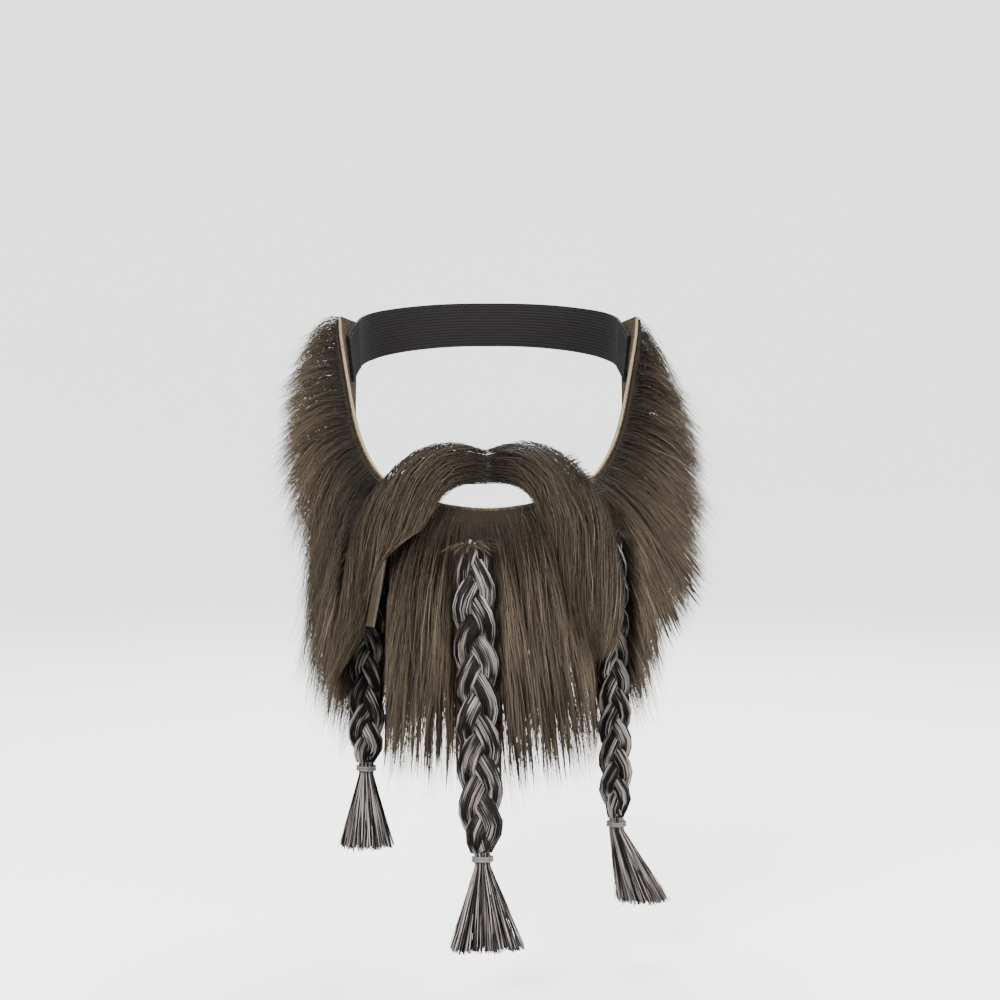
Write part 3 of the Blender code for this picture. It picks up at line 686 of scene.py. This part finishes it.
def line_piece(name, paths, widths, tones, thickness, sides, material):
    """Round threads along rows of points, with widths as shares of the thickness."""
    count, steps = paths.shape[:2]
    mesh = bpy.data.meshes.new(name)
    numbers = np.arange(count * steps).reshape(count, steps)
    edges = np.stack([numbers[:, :-1], numbers[:, 1:]], -1).reshape(-1, 2)
    mesh.vertices.add(count * steps)
    mesh.vertices.foreach_set("co", paths.astype(np.float32).ravel())
    mesh.edges.add(len(edges))
    mesh.edges.foreach_set("vertices", edges.astype(np.int32).ravel())
    run = np.linspace(0, 1, steps)
    for label, values in (("width", widths), ("tone", tones), ("run", run[None])):
        full = np.broadcast_to(values, (count, steps)).astype(np.float32).ravel()
        mesh.attributes.new(label, "FLOAT", "POINT").data.foreach_set("value", full)
    made = new_object(name, mesh)
    modifier = made.modifiers.new("make", "NODES")
    modifier.node_group = THREAD_TREE
    given = {"Thickness": thickness, "Sides": sides, "Material": material}
    for item in THREAD_TREE.interface.items_tree:
        if item.name in given:
            modifier[item.identifier] = given[item.name]
    return plain(made)


def hair_piece(name, paths, widths, tones, material, radius=HAIR_RADIUS, sides=3):
    made = line_piece(name, kept_near(paths), widths, tones[:, None], radius, sides, material)
    lay_hair_map(made.data)
    return made


def thread_piece(name, paths, radius, material, sides=6):
    """Plain threads, such as stitches, on object coordinates."""
    return line_piece(name, paths, 1.0, 0.5, radius, sides, material)


def cloth_piece(name, near, far, material, map_name, map_grid):
    """A closed sheet between two grids of points, with a map in metres."""
    size = near.shape[0] * near.shape[1]
    number = np.arange(size).reshape(near.shape[:2])
    a, b, c, d = number[:-1, :-1], number[:-1, 1:], number[1:, 1:], number[1:, :-1]
    rim = np.concatenate([number[0, :-1], number[:-1, -1], number[-1, :0:-1], number[:0:-1, 0]])
    after = np.roll(rim, -1)
    faces = np.concatenate([np.stack([a, b, c, d], -1).reshape(-1, 4),
                            size + np.stack([a, d, c, b], -1).reshape(-1, 4),
                            np.stack([rim, size + rim, size + after, after], -1)])
    mesh = face_mesh(name, [near, far], faces.tolist())
    lay_map(mesh, map_name, np.concatenate([map_grid.reshape(-1, 2)] * 2)[corner_points(mesh)])
    mesh.update()
    made = new_object(name, mesh, material)
    turn_outwards(made)
    mesh.shade_smooth()
    made.modifiers.new("crisp rim", "EDGE_SPLIT").split_angle = math.radians(70)
    return plain(made)


def ring_faces(count, sides):
    """The numbers of the points, ring by ring, and the faces between the rings."""
    number = np.arange(count * sides).reshape(count, sides)
    after = np.roll(number, -1, 1)
    faces = np.stack([number[:-1], after[:-1], after[1:], number[1:]], -1).reshape(-1, 4).tolist()
    return number, faces


def tube_piece(name, rings, material):
    """A closed smooth solid through rings of points."""
    number, faces = ring_faces(*rings.shape[:2])
    mesh = face_mesh(name, rings, faces + [number[0][::-1].tolist(), number[-1].tolist()])
    mesh.update()
    made = new_object(name, mesh, material)
    turn_outwards(made)
    mesh.shade_smooth()
    return made


def run_lengths(grid, axis):
    """Distance run along one way of a grid of points, averaged over the other way."""
    steps = np.linalg.norm(np.diff(grid, axis=axis), axis=-1).mean(1 - axis)
    return np.concatenate([[0.0], np.cumsum(steps)])


def cut_as(made, grid):
    """Works out the rectangle that a sheet was cut from, by its grid and its own area, but keeps none of
    it.
    """
    width, length = sorted(float(run_lengths(grid, axis)[-1]) for axis in (0, 1))
    widest = float(np.linalg.norm(np.diff(grid, axis=1), axis=-1).sum(1).max())
    area = sum(face.area for face in made.data.polygons) / 2
    width = max(width, widest) * 1.03
    length = max(length * 1.03, area / width * 1.02)


def band_piece(name, path, across, front, width, shares, thickness, cells, material):
    """A flat band along a path, with its width's share at each point. Also gives its middle grid."""
    step = np.linspace(-0.5, 0.5, cells + 1)
    wide = path[:, None] + across[:, None] * (shares * width)[:, None, None] * step[None, :, None]
    near, far = (wide + front[:, None] * thickness / 2 * sign for sign in (-1, 1))
    runs = np.stack(np.meshgrid(run_lengths(wide, 0), (step + 0.5) * width, indexing="ij"), -1)
    return cloth_piece(name, near, far, material, "weave", runs), wide


def finished(made, slot, *nodes):
    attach(made, "root")
    if nodes:
        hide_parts(*nodes)
    return made


# Hair in general

def combed(root, start, end, length, steps):
    """Hairs that turn from their start direction to their end direction as they run."""
    middles = (np.arange(steps - 1) + 0.5) / (steps - 1)
    turn = (1 - (1 - middles) ** 1.7)[None, :, None]
    ways = unit(start[:, None] * (1 - turn) + end[:, None] * turn)
    runs = ways * (length / (steps - 1))[:, None, None]
    return root[:, None] + np.concatenate([np.zeros_like(runs[:, :1]), np.cumsum(runs, 1)], 1)


def nearest(points, leaders):
    """For each point the number of the leader beside it."""
    found = np.empty(len(points), int)
    batch = 2000
    for start in range(0, len(points), batch):
        part = points[start:start + batch]
        found[start:start + batch] = ((part[:, None] - leaders[None]) ** 2).sum(-1).argmin(1)
    return found


def locked(paths, count, pull, rng):
    """Draws hairs together into locks, most at their tips. Also gives each hair's lock."""
    leaders = rng.choice(len(paths), count, replace=False)
    lock = nearest(paths[:, 0], paths[leaders, 0])
    share = np.linspace(0, 1, paths.shape[1]) ** 1.4
    strength = pull * rng.uniform(0.55, 1.0, len(paths))
    towards = paths[leaders][lock] - paths
    return paths + towards * (strength[:, None] * share)[..., None], lock


def lock_tones(locks, lock, weight, rng):
    """A tone for each hair, part from its lock and the rest its own."""
    return np.clip(rng.uniform(size=locks)[lock] * weight + rng.uniform(size=len(lock)) * (1 - weight),
                   0.01, 0.99)


def wandered(paths, amount, rng):
    """A slow wander of each hair away from its line."""
    steps = rng.normal(0.0, amount, paths.shape)
    steps[:, 0] = 0.0
    return paths + np.cumsum(steps, 1) * np.linspace(0.4, 1.0, paths.shape[1])[None, :, None]


def astray(paths, ways, loose):
    """Bends the loose hairs away, most at their tips."""
    run = np.linspace(0, 1, paths.shape[1])[None, :, None] ** 2
    return paths + ways[:, None] * run * loose[:, None, None]


def tapered(count, steps, rng, loose=False):
    """Widths of hairs that narrow to their tips, finer where a hair is loose."""
    run = np.linspace(0, 1, steps)
    shape = np.minimum(1.0, 1.25 * (1 - run ** 3)) * 0.92 + 0.08
    return rng.uniform(0.75, 1.15, count)[:, None] * shape[None] * np.where(loose, 0.6, 1.0)[..., None]


def kept_near(paths):
    """Draws in the few loose hairs that would stand far out at the sides."""
    for axis, (low, high) in enumerate(zip(*cad_box)):
        beyond = np.maximum(paths[..., axis] - high - BOX_ROOM, 0.0)
        before = np.maximum(low - BOX_ROOM - paths[..., axis], 0.0)
        eased = np.tanh(beyond / BOX_SOFTNESS) - np.tanh(before / BOX_SOFTNESS)
        paths[..., axis] += BOX_SOFTNESS * eased - beyond + before
    return paths


def beds():
    """The wings and plaits that lie on the pile: middle line, half width and the y of the back."""
    for side in WINGS:
        middle, _, half_width, half_depth = wing_frame(side, np.linspace(0, 0.97, 50))
        yield middle, half_width * 0.9, middle[:, 1] + half_depth * 0.4
    for side in PLAITS:
        top, tie, size, *_ = plait_frame(side)
        run = np.linspace(-0.01, 1.05, 60)[:, None]
        line = top + (tie - top) * run
        half_width = np.full(len(run), (PLAIT_SWING + STRAND_WIDTH / 2) * size)
        yield line, half_width, line[:, 1] + STRAND_THICKNESS * 0.6 * size


def pushed_back(paths, further=0.0):
    """Keeps hair behind the wings and plaits that lie on it, and that much further back."""
    flat = paths.reshape(-1, 3)
    for line, half_width, back in beds():
        beside = nearest(flat[:, (0, 2)], line[:, (0, 2)])
        away = np.linalg.norm(flat[:, (0, 2)] - line[beside][:, (0, 2)], axis=1)
        share = 1 - smooth((away - half_width[beside]) / BED_SOFTNESS)
        deep = np.maximum(flat[:, 1], back[beside] + further)
        flat[:, 1] += (deep - flat[:, 1]) * share
    return flat.reshape(paths.shape)


# Pieces

def make_panel(finish):
    along, down = panel_grid((PANEL_CELLS[0] + 1, PANEL_CELLS[1] + 1))
    inner, normal = panel_frame(along, down)
    runs = np.stack(np.meshgrid(run_lengths(inner, 0), run_lengths(inner, 1), indexing="ij"), -1)
    panel = cloth_piece("knit_panel", inner, inner + normal * PANEL_THICKNESS, finish, "knit", runs)
    finished(panel, "panel_knit", "beard_panel")
    cut_as(panel, inner)


def make_cut_edge(finish):
    """Overlocking along the panel's inner edge: two threads and a loop over the edge at each stitch."""
    station = np.linspace(-1, 1, EDGE_STATIONS)
    point, normal = panel_frame(station, np.zeros_like(station))
    lower, _ = panel_frame(station, np.full_like(station, 0.03))
    into = unit(lower - point)
    middle = point + normal * PANEL_THICKNESS / 2
    rng = np.random.default_rng(11)
    threads = np.stack([middle - into * EDGE_THREAD_GAP + normal * side * EDGE_THREAD_GAP
                        for side in (-1, 1)])
    threads += rng.normal(0, 0.00006, threads.shape)
    finished(thread_piece("edge_thread", threads, EDGE_THREAD_RADIUS * 1.2, finish), "strip_cloth")
    reach = run_lengths(middle[None], 1)

    def at(line, distance):
        return np.array([np.interp(distance, reach, line[:, axis]) for axis in range(3)])

    loops = []
    for start in np.arange(0.0005, reach[-1] - 0.0005, EDGE_LOOP_PITCH):
        here, inwards, out = (at(line, start) for line in (middle, into, normal))
        ahead = at(middle, start + EDGE_LOOP_PITCH / 2) - here
        size = EDGE_LOOP_SIZE * rng.uniform(0.8, 1.2)
        loops.append([here + inwards * (0.0006 - size * math.sin(a) * 0.75) - out * size * math.cos(a)
                      + ahead * a * 0.3 for a in np.linspace(-0.15, 1.15, 8) * math.pi])
    finished(thread_piece("edge_loops", np.array(loops), EDGE_THREAD_RADIUS, finish, 5), "strip_cloth")


def make_coat(finish):
    """The thick foot of the pile over the whole panel."""
    along, down = panel_grid(COAT_CELLS, 0.02)
    point, normal = panel_frame(along, down)
    crown = np.sin(math.pi * down) ** 0.5 * (1 - np.clip((np.abs(along) - 0.85) / 0.15, 0, 1) ** 2)
    rng = np.random.default_rng(5)
    rise = COAT_DEPTH * (0.12 + 0.88 * crown) * rng.uniform(0.8, 1.2, along.shape)
    near = point + normal * COAT_BASE
    far = point + normal * (COAT_BASE + rise)[..., None]
    coat = cloth_piece("pile_coat", near, far, finish, "lie", np.stack([along, down], -1))
    finished(coat, "brown_fur", "beard_fur")


def panel_roots(count, ends, rng):
    """Places on the panel, as evenly over its area as it is wide."""
    stations = np.linspace(*ends, 200)
    inner, outer, _ = panel_edges(stations)
    wide = np.linalg.norm(outer - inner, axis=1)
    long = np.linalg.norm(np.gradient((inner + outer) / 2, axis=0), axis=1)
    reach = np.cumsum(wide * long)
    along = np.interp(rng.uniform(0, reach[-1], count), reach, stations)
    return along, rng.uniform(0.0, 1.0, count)


def make_pile(side, finish):
    spec = PILES[side]
    rng = np.random.default_rng(spec["seed"])
    count, steps = spec["hairs"], spec["steps"]
    along, down = panel_roots(count, spec["ends"], rng)
    if side == "chin":
        down = np.where(rng.uniform(size=count) < 0.6, down ** 0.5, down)
    point, normal = panel_frame(along, down)
    row = NAP.at((along + 1) / 2)
    lift = rng.uniform(0.15, 0.75, count)[:, None]
    start = unit(unit(row.start) + normal * lift + rng.normal(0, 0.10, (count, 3)))
    end = unit(unit(row.end) + normal * lift * 0.12 + rng.normal(0, 0.09, (count, 3)))
    length = row.length / 1000 * rng.uniform(0.72, 1.05, count) * (0.94 + 0.17 * down)
    paths = combed(point + normal * PANEL_THICKNESS, start, end, length, steps)
    paths, lock = locked(paths, spec["locks"], 0.62, rng)
    loose = rng.uniform(size=count) < 0.07
    paths = wandered(paths, spec["wander"], rng)
    ways = normal * rng.uniform(0.0, 0.010, (count, 1)) + rng.normal(0, 0.005, (count, 3))
    paths = pushed_back(astray(paths, ways, loose))
    tones = lock_tones(spec["locks"], lock, 0.45, rng)
    made = hair_piece(f"pile_{side}", paths, tapered(count, steps, rng, loose), tones, finish)
    finished(made, "brown_fur", "beard_fur")


def make_under_pile(finish):
    """Broad dark locks behind the hairs, which close the pile where it hangs below the knit; their dark
    tones are painted shade behind the hairs.
    """
    rng = np.random.default_rng(27)
    count = UNDER_LOCKS
    along, down = panel_roots(count, UNDER_REACH, rng)
    point, normal = panel_frame(along, 0.35 + 0.65 * down)
    row = NAP.at((along + 1) / 2)
    start = unit(row.start + normal * 0.15)
    end = unit(row.end + rng.normal(0, 0.04, (count, 3)))
    length = row.length / 1000 * rng.uniform(0.84, 1.04, count)
    shape = np.array([0.55, 1.0, 1.0, 0.85, 0.55, 0.06])
    paths = combed(point + normal * PANEL_THICKNESS, start, end, length, len(shape))
    widths = rng.uniform(0.9, 1.4, (count, 1)) * shape
    # The low tones paint these locks dark, as painted shade behind the hairs.
    made = hair_piece("under_pile", pushed_back(paths, 0.0015), widths, rng.uniform(0.02, 0.16, count),
                      finish, UNDER_RADIUS, 5)
    finished(made, "brown_fur", "beard_fur")


def make_tape(finish):
    share = np.linspace(0, 1, TAPE_CELLS[0] + 1)
    row = TAPE_HALF.at(np.abs(2 * share - 1))
    turned = np.where(share[:, None] < 0.5, (-1.0, 1.0, 1.0), 1.0)
    middle = place(turned * row.mid)
    tangent = unit(np.gradient(middle, axis=0))
    across = unit(np.cross(tangent, unit(turned * row.facing)))
    front = unit(np.cross(across, tangent))
    tape, grid = band_piece("moustache_tape", middle, across, front, TAPE_WIDTH, row.width,
                            TAPE_THICKNESS, TAPE_CELLS[1], finish)
    finished(tape, "strip_cloth", "moustache_strip")
    cut_as(tape, grid)


def wing_frame(side, share):
    """Middle, outer or upper direction, half width and half depth of a wing of hair."""
    wing = WINGS[side]
    row = wing.at(share)
    before, after = (place(wing.at(np.clip(share + step, 0, 1)).mid) for step in (-0.02, 0.02))
    upper = unit(np.cross(unit(after - before), FRONT)) * (1.0 if side == "right" else -1.0)
    return place(row.mid), upper, row.width * WING_WIDTH / 2, row.depth * WING_DEPTH / 2


def make_wing(side, finish, seed):
    """A wing of long hair sewn to the tape, which sweeps out from the lip's middle and hangs to a point."""
    rng = np.random.default_rng(seed)
    count = WING_HAIRS
    begin = rng.uniform(0.0, 1.0, count) ** 1.25 * 0.70
    reach = rng.uniform(0.30, 0.52, count)
    finish_at = np.minimum(begin + reach, rng.uniform(0.86, 1.0, count))
    run = np.linspace(0, 1, WING_STEPS)
    share = begin[:, None] + (finish_at - begin)[:, None] * run
    middle, upper, half_width, half_depth = wing_frame(side, share)
    high = rng.uniform(-0.75, 1.0, count)
    fall = np.interp(begin, (0.0, 0.25, 0.7), (1.1, 0.7, 0.25)) * rng.uniform(0.6, 1.3, count)
    low = np.clip(high - fall, -0.98, 0.98)
    off = high[:, None] + (low - high)[:, None] * smooth(run)[None]
    crown = np.sqrt(np.maximum(1 - off ** 2, 0.0))
    depth = rng.uniform(-0.9, 1.0, count)[:, None] * crown
    depth = -0.9 + (depth + 0.9) * smooth(run * 2.5)[None]
    paths = (middle + upper * (off * half_width)[..., None]
             + FRONT * (depth * half_depth)[..., None])
    across_middle = np.exp(-share / 0.05) * rng.uniform(0.0, 0.005, (count, 1))
    paths[..., 0] += across_middle * (1.0 if side == "right" else -1.0)
    paths[..., 2] -= 0.0025 * np.exp(-(share / 0.07) ** 2)
    paths, lock = locked(paths, WING_LOCKS, 0.45, rng)
    paths = wandered(paths, 0.00040, rng)
    loose = rng.uniform(size=count) < 0.04
    ways = rng.normal(0, 0.0045, (count, 3)) + FRONT * rng.uniform(0, 0.004, (count, 1))
    paths = astray(paths, ways, loose)
    if side == "right":
        clear = np.interp(paths[..., 2], TAPE_CLEAR_Z, TAPE_CLEAR_X, left=0.0, right=0.0)
        paths[..., 0] = np.minimum(paths[..., 0], clear)
    tones = lock_tones(WING_LOCKS, lock, 0.4, rng)
    made = hair_piece(f"moustache_{side}", paths, tapered(count, WING_STEPS, rng, loose), tones, finish)
    finished(made, "brown_fur", f"moustache_hair_{side}")


def make_tufts(finish):
    """Short cut ends that stand up at the top edge of the left wing."""
    rng = np.random.default_rng(71)
    count = TUFT_HAIRS
    middle, upper, half_width, half_depth = wing_frame("left", rng.normal(0.30, 0.035, count))
    root = middle + upper * (half_width * 0.70)[:, None] + FRONT * (half_depth * 0.25)[:, None]
    way = unit(upper * 0.8 + np.array((0.35, -0.25, 0.2)) + rng.normal(0, 0.28, (count, 3)))
    bent = unit(way + np.array((0.3, -0.1, -0.3)))
    paths, _ = locked(combed(root, way, bent, rng.uniform(0.004, 0.008, count), 4), 10, 0.5, rng)
    tones = rng.uniform(0.03, 0.5, count)
    made = hair_piece("moustache_tufts", paths, tapered(count, 4, rng), tones, finish)
    finished(made, "brown_fur")


def plait_frame(side):
    """Top and tie of a plait, its size, and the directions down it, across it and to its front."""
    spec = PLAITS[side]
    top, tie = place(spec["top"]), place(spec["tie"])
    drop = unit(tie - top)
    across = unit(np.cross(drop, FRONT))
    return top, tie, spec["size"], drop, across, unit(np.cross(across, drop))


def strand_frames(side, strand, steps):
    """Middle, sideways and front directions and size of a plait's strand, step by step."""
    top, tie, size, drop, across, front = plait_frame(side)
    length = np.linalg.norm(tie - top)
    share = np.linspace(0, 1, steps)
    angle = 2 * math.pi * (length / (PLAIT_TURN * size) * share + strand / 3)
    drawn = np.minimum(1.0, np.minimum(GATHERED_SHARE + 3.2 * share, GATHERED_SHARE + 7.0 * (1 - share)))
    path = (top + drop * (length * share)[:, None]
            + across * (np.sin(angle) * PLAIT_SWING * size * drawn)[:, None]
            + front * (np.sin(2 * angle) * PLAIT_WEAVE * size * drawn)[:, None])
    tangent = unit(np.gradient(path, axis=0))
    side_way = unit(np.cross(tangent, front))
    front_way = unit(np.cross(side_way, tangent))
    thin = size * np.minimum(1.0, np.minimum(THIN_SHARE + 2.0 * share, THIN_SHARE + 5.0 * (1 - share)))
    return path, side_way, front_way, thin


def make_plait(side, hair_finish, core, seed):
    rng = np.random.default_rng(seed)
    hairs, tones = [], []
    for strand in range(3):
        path, side_way, front_way, thin = strand_frames(side, strand, STRAND_STEPS)
        turn = np.linspace(0, 2 * math.pi, CORE_SIDES, endpoint=False)
        ring = (side_way[:, None] * np.cos(turn)[None, :, None] * STRAND_WIDTH
                + front_way[:, None] * np.sin(turn)[None, :, None] * STRAND_THICKNESS)
        made = tube_piece(f"strand_{side}_{strand}",
                          path[:, None] + ring * (thin * CORE_SIZE)[:, None, None], core)
        finished(made, "plait_hair", f"plait_{side}")
        around = (np.arange(STRAND_HAIRS) + rng.uniform(-0.3, 0.3, STRAND_HAIRS)) / STRAND_HAIRS
        sway = np.cumsum(rng.normal(0, 0.02, (STRAND_HAIRS, STRAND_STEPS)), 1)
        turns = 2 * math.pi * around[:, None] + sway
        out = rng.uniform(CORE_SIZE, 0.51, (STRAND_HAIRS, 1)) + rng.normal(0, 0.006, turns.shape)
        hairs.append(path[None] + (side_way[None] * (np.cos(turns) * STRAND_WIDTH)[..., None]
                                   + front_way[None] * (np.sin(turns) * STRAND_THICKNESS)[..., None])
                     * (out * thin[None])[..., None])
        tones.append((strand + np.clip(around, 0, 1)) / 3)
    paths = np.concatenate(hairs)
    made = hair_piece(f"plait_hair_{side}", paths, rng.uniform(0.8, 1.15, (len(paths), 1)),
                      np.clip(np.concatenate(tones), 0.01, 0.99), hair_finish, STRAND_HAIR_RADIUS)
    finished(made, "plait_hair", f"plait_{side}")


def make_frayed_top(side, finish, seed):
    """Short ends of hair that stick out where a plait is sewn on."""
    rng = np.random.default_rng(seed)
    top, _, size, drop, across, front = plait_frame(side)
    count = FRAYED_HAIRS
    root = (top + drop * 0.002 + across * rng.uniform(-0.0035, 0.0035, (count, 1)) * size
            + front * rng.uniform(-0.001, 0.003, (count, 1)))
    way = unit(front * 0.7 - drop * 0.5 + across * rng.normal(0, 0.9, (count, 1))
               + rng.normal(0, 0.25, (count, 3)))
    bent = unit(way + drop * 1.2 + across * rng.normal(0, 0.5, (count, 1)))
    paths = wandered(combed(root, way, bent, rng.uniform(0.006, 0.013, count), 6), 0.0003, rng)
    widths = tapered(count, 6, rng)
    made = hair_piece(f"frayed_top_{side}", paths, widths, rng.uniform(0.02, 0.40, count), finish,
                      FRAYED_RADIUS)
    finished(made, "plait_hair")


def make_brush(side, hair_finish, seed):
    """The loose end of a plait: hair that leaves the tie in a round neck and fans out to a level cut."""
    rng = np.random.default_rng(seed)
    spec = PLAITS[side]
    _, tie, _, drop, across, front = plait_frame(side)
    lean = unit(drop + across * spec["lean"] * math.copysign(1.0, across[0]))
    angle = rng.uniform(0, 2 * math.pi, BRUSH_HAIRS)
    out = np.sqrt(rng.uniform(0, 1, BRUSH_HAIRS))
    x, y = np.cos(angle) * out, np.sin(angle) * out
    reach = BRUSH_LENGTH * spec["brush"] * rng.uniform(0.93, 1.0, BRUSH_HAIRS)
    run = np.array([0.0, 0.14, 0.32, 0.55, 0.78, 1.0])
    neck = np.minimum(run / run[1], 1.0) * NECK_LENGTH
    free = np.clip((run - run[1]) / (1 - run[1]), 0, 1)
    tight = NECK_RADIUS * 0.92
    wide, deep = (np.interp(run, (0, run[1], 1), (tight, tight, end))
                  for end in (BRUSH_SPREAD * spec["spread"] * 1.18, BRUSH_DEPTH * 1.15))
    paths = (tie + drop * SEAM_GAP + drop * neck[None, :, None]
             + lean * (reach[:, None] * free)[..., None]
             + across * (x[:, None] * wide)[..., None] + front * (y[:, None] * deep)[..., None])
    paths, lock = locked(paths, BRUSH_LOCKS, 0.35, rng)
    paths[:, 2:] = wandered(paths[:, 2:], 0.00035, rng)
    tones = lock_tones(BRUSH_LOCKS, lock, 0.9, rng)
    made = hair_piece(f"brush_hair_{side}", paths, rng.uniform(0.8, 1.2, (BRUSH_HAIRS, 1)), tones,
                      hair_finish, BRUSH_HAIR_RADIUS)
    finished(made, "plait_hair", f"brush_{side}")


def make_tie(side, finish):
    """A rubber tie wound round the neck a few times."""
    _, tie, _, drop, across, front = plait_frame(side)
    centre = tie + drop * SEAM_GAP + drop * NECK_LENGTH / 2
    steps = TIE_STEPS * TIE_TURNS
    turn = np.linspace(0, 2 * math.pi * TIE_TURNS, steps)
    rise = np.linspace(-1, 1, steps) * TIE_WIRE_RADIUS * TIE_PITCH * (TIE_TURNS - 1) / 2
    radius = NECK_RADIUS + TIE_WIRE_RADIUS * (0.9 + 0.25 * np.sin(turn * 0.5))
    path = (centre + across * (np.cos(turn) * radius)[:, None] + front * (np.sin(turn) * radius)[:, None]
            + drop * rise[:, None])
    made = thread_piece(f"tie_band_{side}", path[None], TIE_WIRE_RADIUS, finish, 10)
    finished(made, "tie_rubber", f"tie_{side}")


def strap_line():
    """Middle points and upward directions of the strap, whose ends lie on the panel."""
    sewn = STRAP_SEWN.at(np.linspace(0, 1, SEWN_STEPS))
    point, normal = panel_frame(sewn.along, sewn.down)
    end = point - normal * (SEAM_GAP + STRAP_THICKNESS / 2)
    run = STRAP.at(np.linspace(0, 1, STRAP_STEPS)[1:]).run
    half = np.concatenate([end, end[-1] * (1 - run) + HEAD_BACK * run])
    tangent = unit(np.gradient(half, axis=0))
    up = unit(-DOWN - tangent * (tangent @ -DOWN)[:, None])
    lain = facing(unit(np.cross(normal, tangent[:SEWN_STEPS])), -DOWN)
    up[:SEWN_STEPS] = lain
    twist = slice(SEWN_STEPS, SEWN_STEPS + TWIST_STEPS)
    blend = smooth(np.linspace(0, 1, TWIST_STEPS))[:, None]
    up[twist] = unit(lain[-1] * (1 - blend) + up[twist] * blend)
    up[-1] = unit(up[-1] * np.array((0.0, 1.0, 1.0)))
    turn_over = np.array((-1.0, 1.0, 1.0))
    return (np.concatenate([half, half[-2::-1] * turn_over]),
            np.concatenate([up, up[-2::-1] * turn_over]))


def make_strap(finish, thread):
    path, up = strap_line()
    front = unit(np.cross(up, unit(np.gradient(path, axis=0))))
    strap, grid = band_piece("elastic_strap", path, up, front, STRAP_WIDTH, np.ones(len(path)),
                             STRAP_THICKNESS, STRAP_CELLS_ACROSS, finish)
    finished(strap, "black_elastic", "head_strap")
    cut_as(strap, grid)
    inwards = -facing(front, path - HEAD_HOLLOW)
    stitches = []
    for first, step in ((0, 1), (len(path) - 1, -1)):
        for edge in (-0.42, 0.42):
            for row in range(first, first + step * STITCHED_STEPS, step):
                here, after = path[row], path[row + step]
                lift = up[row] * edge * STRAP_WIDTH + inwards[row] * (STRAP_THICKNESS / 2 + 0.0001)
                stitches.append([here + (after - here) * t + lift
                                 + inwards[row] * 0.0003 * math.sin(math.pi * t)
                                 for t in (0.08, 0.3, 0.5, 0.7, 0.92)])
    finished(thread_piece("strap_stitches", np.array(stitches), 0.00022, thread, 5), "black_elastic")


# Camera, light and floor

def make_floor(finish):
    """A pale floor that curves up all round into a pale backdrop."""
    turn = np.linspace(0, 2 * math.pi, FLOOR_SIDES, endpoint=False)
    rings = np.stack(np.broadcast_arrays(FLOOR_RADII[:, None] * np.cos(turn),
                                         FLOOR_RADII[:, None] * np.sin(turn), FLOOR_LEVELS[:, None]), -1)
    number, faces = ring_faces(*rings.shape[:2])
    mesh = face_mesh("floor", rings, [face[::-1] for face in faces] + [number[0].tolist()])
    mesh.update()
    floor = new_object("floor", mesh, finish)
    mesh.shade_smooth()
    for way in ("diffuse", "glossy", "shadow"):
        setattr(floor, "visible_" + way, False)


def make_room():
    camera = bpy.data.cameras.new("camera")
    camera.lens = CAMERA_LENS
    camera.sensor_width = 36.0
    holder = new_object("camera", camera)
    holder.location = CAMERA_PLACE
    holder.rotation_euler = (math.radians(90), 0.0, 0.0)
    bpy.context.scene.camera = holder
    make_floor(floor_finish())
    for name, (spot, size, power) in LIGHTS.items():
        lamp = bpy.data.lights.new(name, "AREA")
        lamp.shape = "DISK"
        lamp.size = size
        lamp.energy = power
        made = new_object(name, lamp)
        made.location = spot
        made.rotation_euler = (LIGHT_AIM - Vector(spot)).to_track_quat("-Z", "Y").to_euler()
    world = bpy.data.worlds.new("studio")
    world.use_nodes = True
    sky = world.node_tree.nodes["Background"].inputs
    sky["Color"].default_value = (1.0, 1.0, 1.0, 1.0)
    sky["Strength"].default_value = WORLD_STRENGTH
    bpy.context.scene.world = world


THREAD_TREE = follow_tree()
make_room()

pile_finish = brown_hair_finish("brown_pile_hair", (0.007, 0.0048, 0.003), (0.046, 0.031, 0.0175),
                                (0.178, 0.135, 0.086), (0.30, 0.245, 0.18))
moustache_finish = brown_hair_finish("moustache_hair", (0.008, 0.0056, 0.0036), (0.053, 0.037, 0.0222),
                                     (0.205, 0.163, 0.112), (0.35, 0.30, 0.23))
plait_finish = plait_hair_finish("black_and_silver_plait", 9.0)
brush_finish = plait_hair_finish("black_and_silver_brush", 1.0)
thread = thread_finish("cream_thread", (0.17, 0.122, 0.072), (0.36, 0.285, 0.18))
black_thread = thread_finish("black_thread", (0.004, 0.004, 0.004), (0.03, 0.027, 0.026))

make_panel(knit_finish())
make_cut_edge(thread)
make_coat(shaded_coat_finish())
make_under_pile(pile_finish)
for side in PILES:
    make_pile(side, pile_finish)
make_tape(tape_finish())
make_wing("right", moustache_finish, 31)
make_wing("left", moustache_finish, 32)
make_tufts(moustache_finish)
core = core_finish()
rubber = tie_finish()
for index, side in enumerate(PLAITS):
    make_plait(side, plait_finish, core, 41 + index)
    make_frayed_top(side, pile_finish, 61 + index)
    make_brush(side, brush_finish, 51 + index)
    make_tie(side, rubber)
make_strap(elastic_finish(), black_thread)
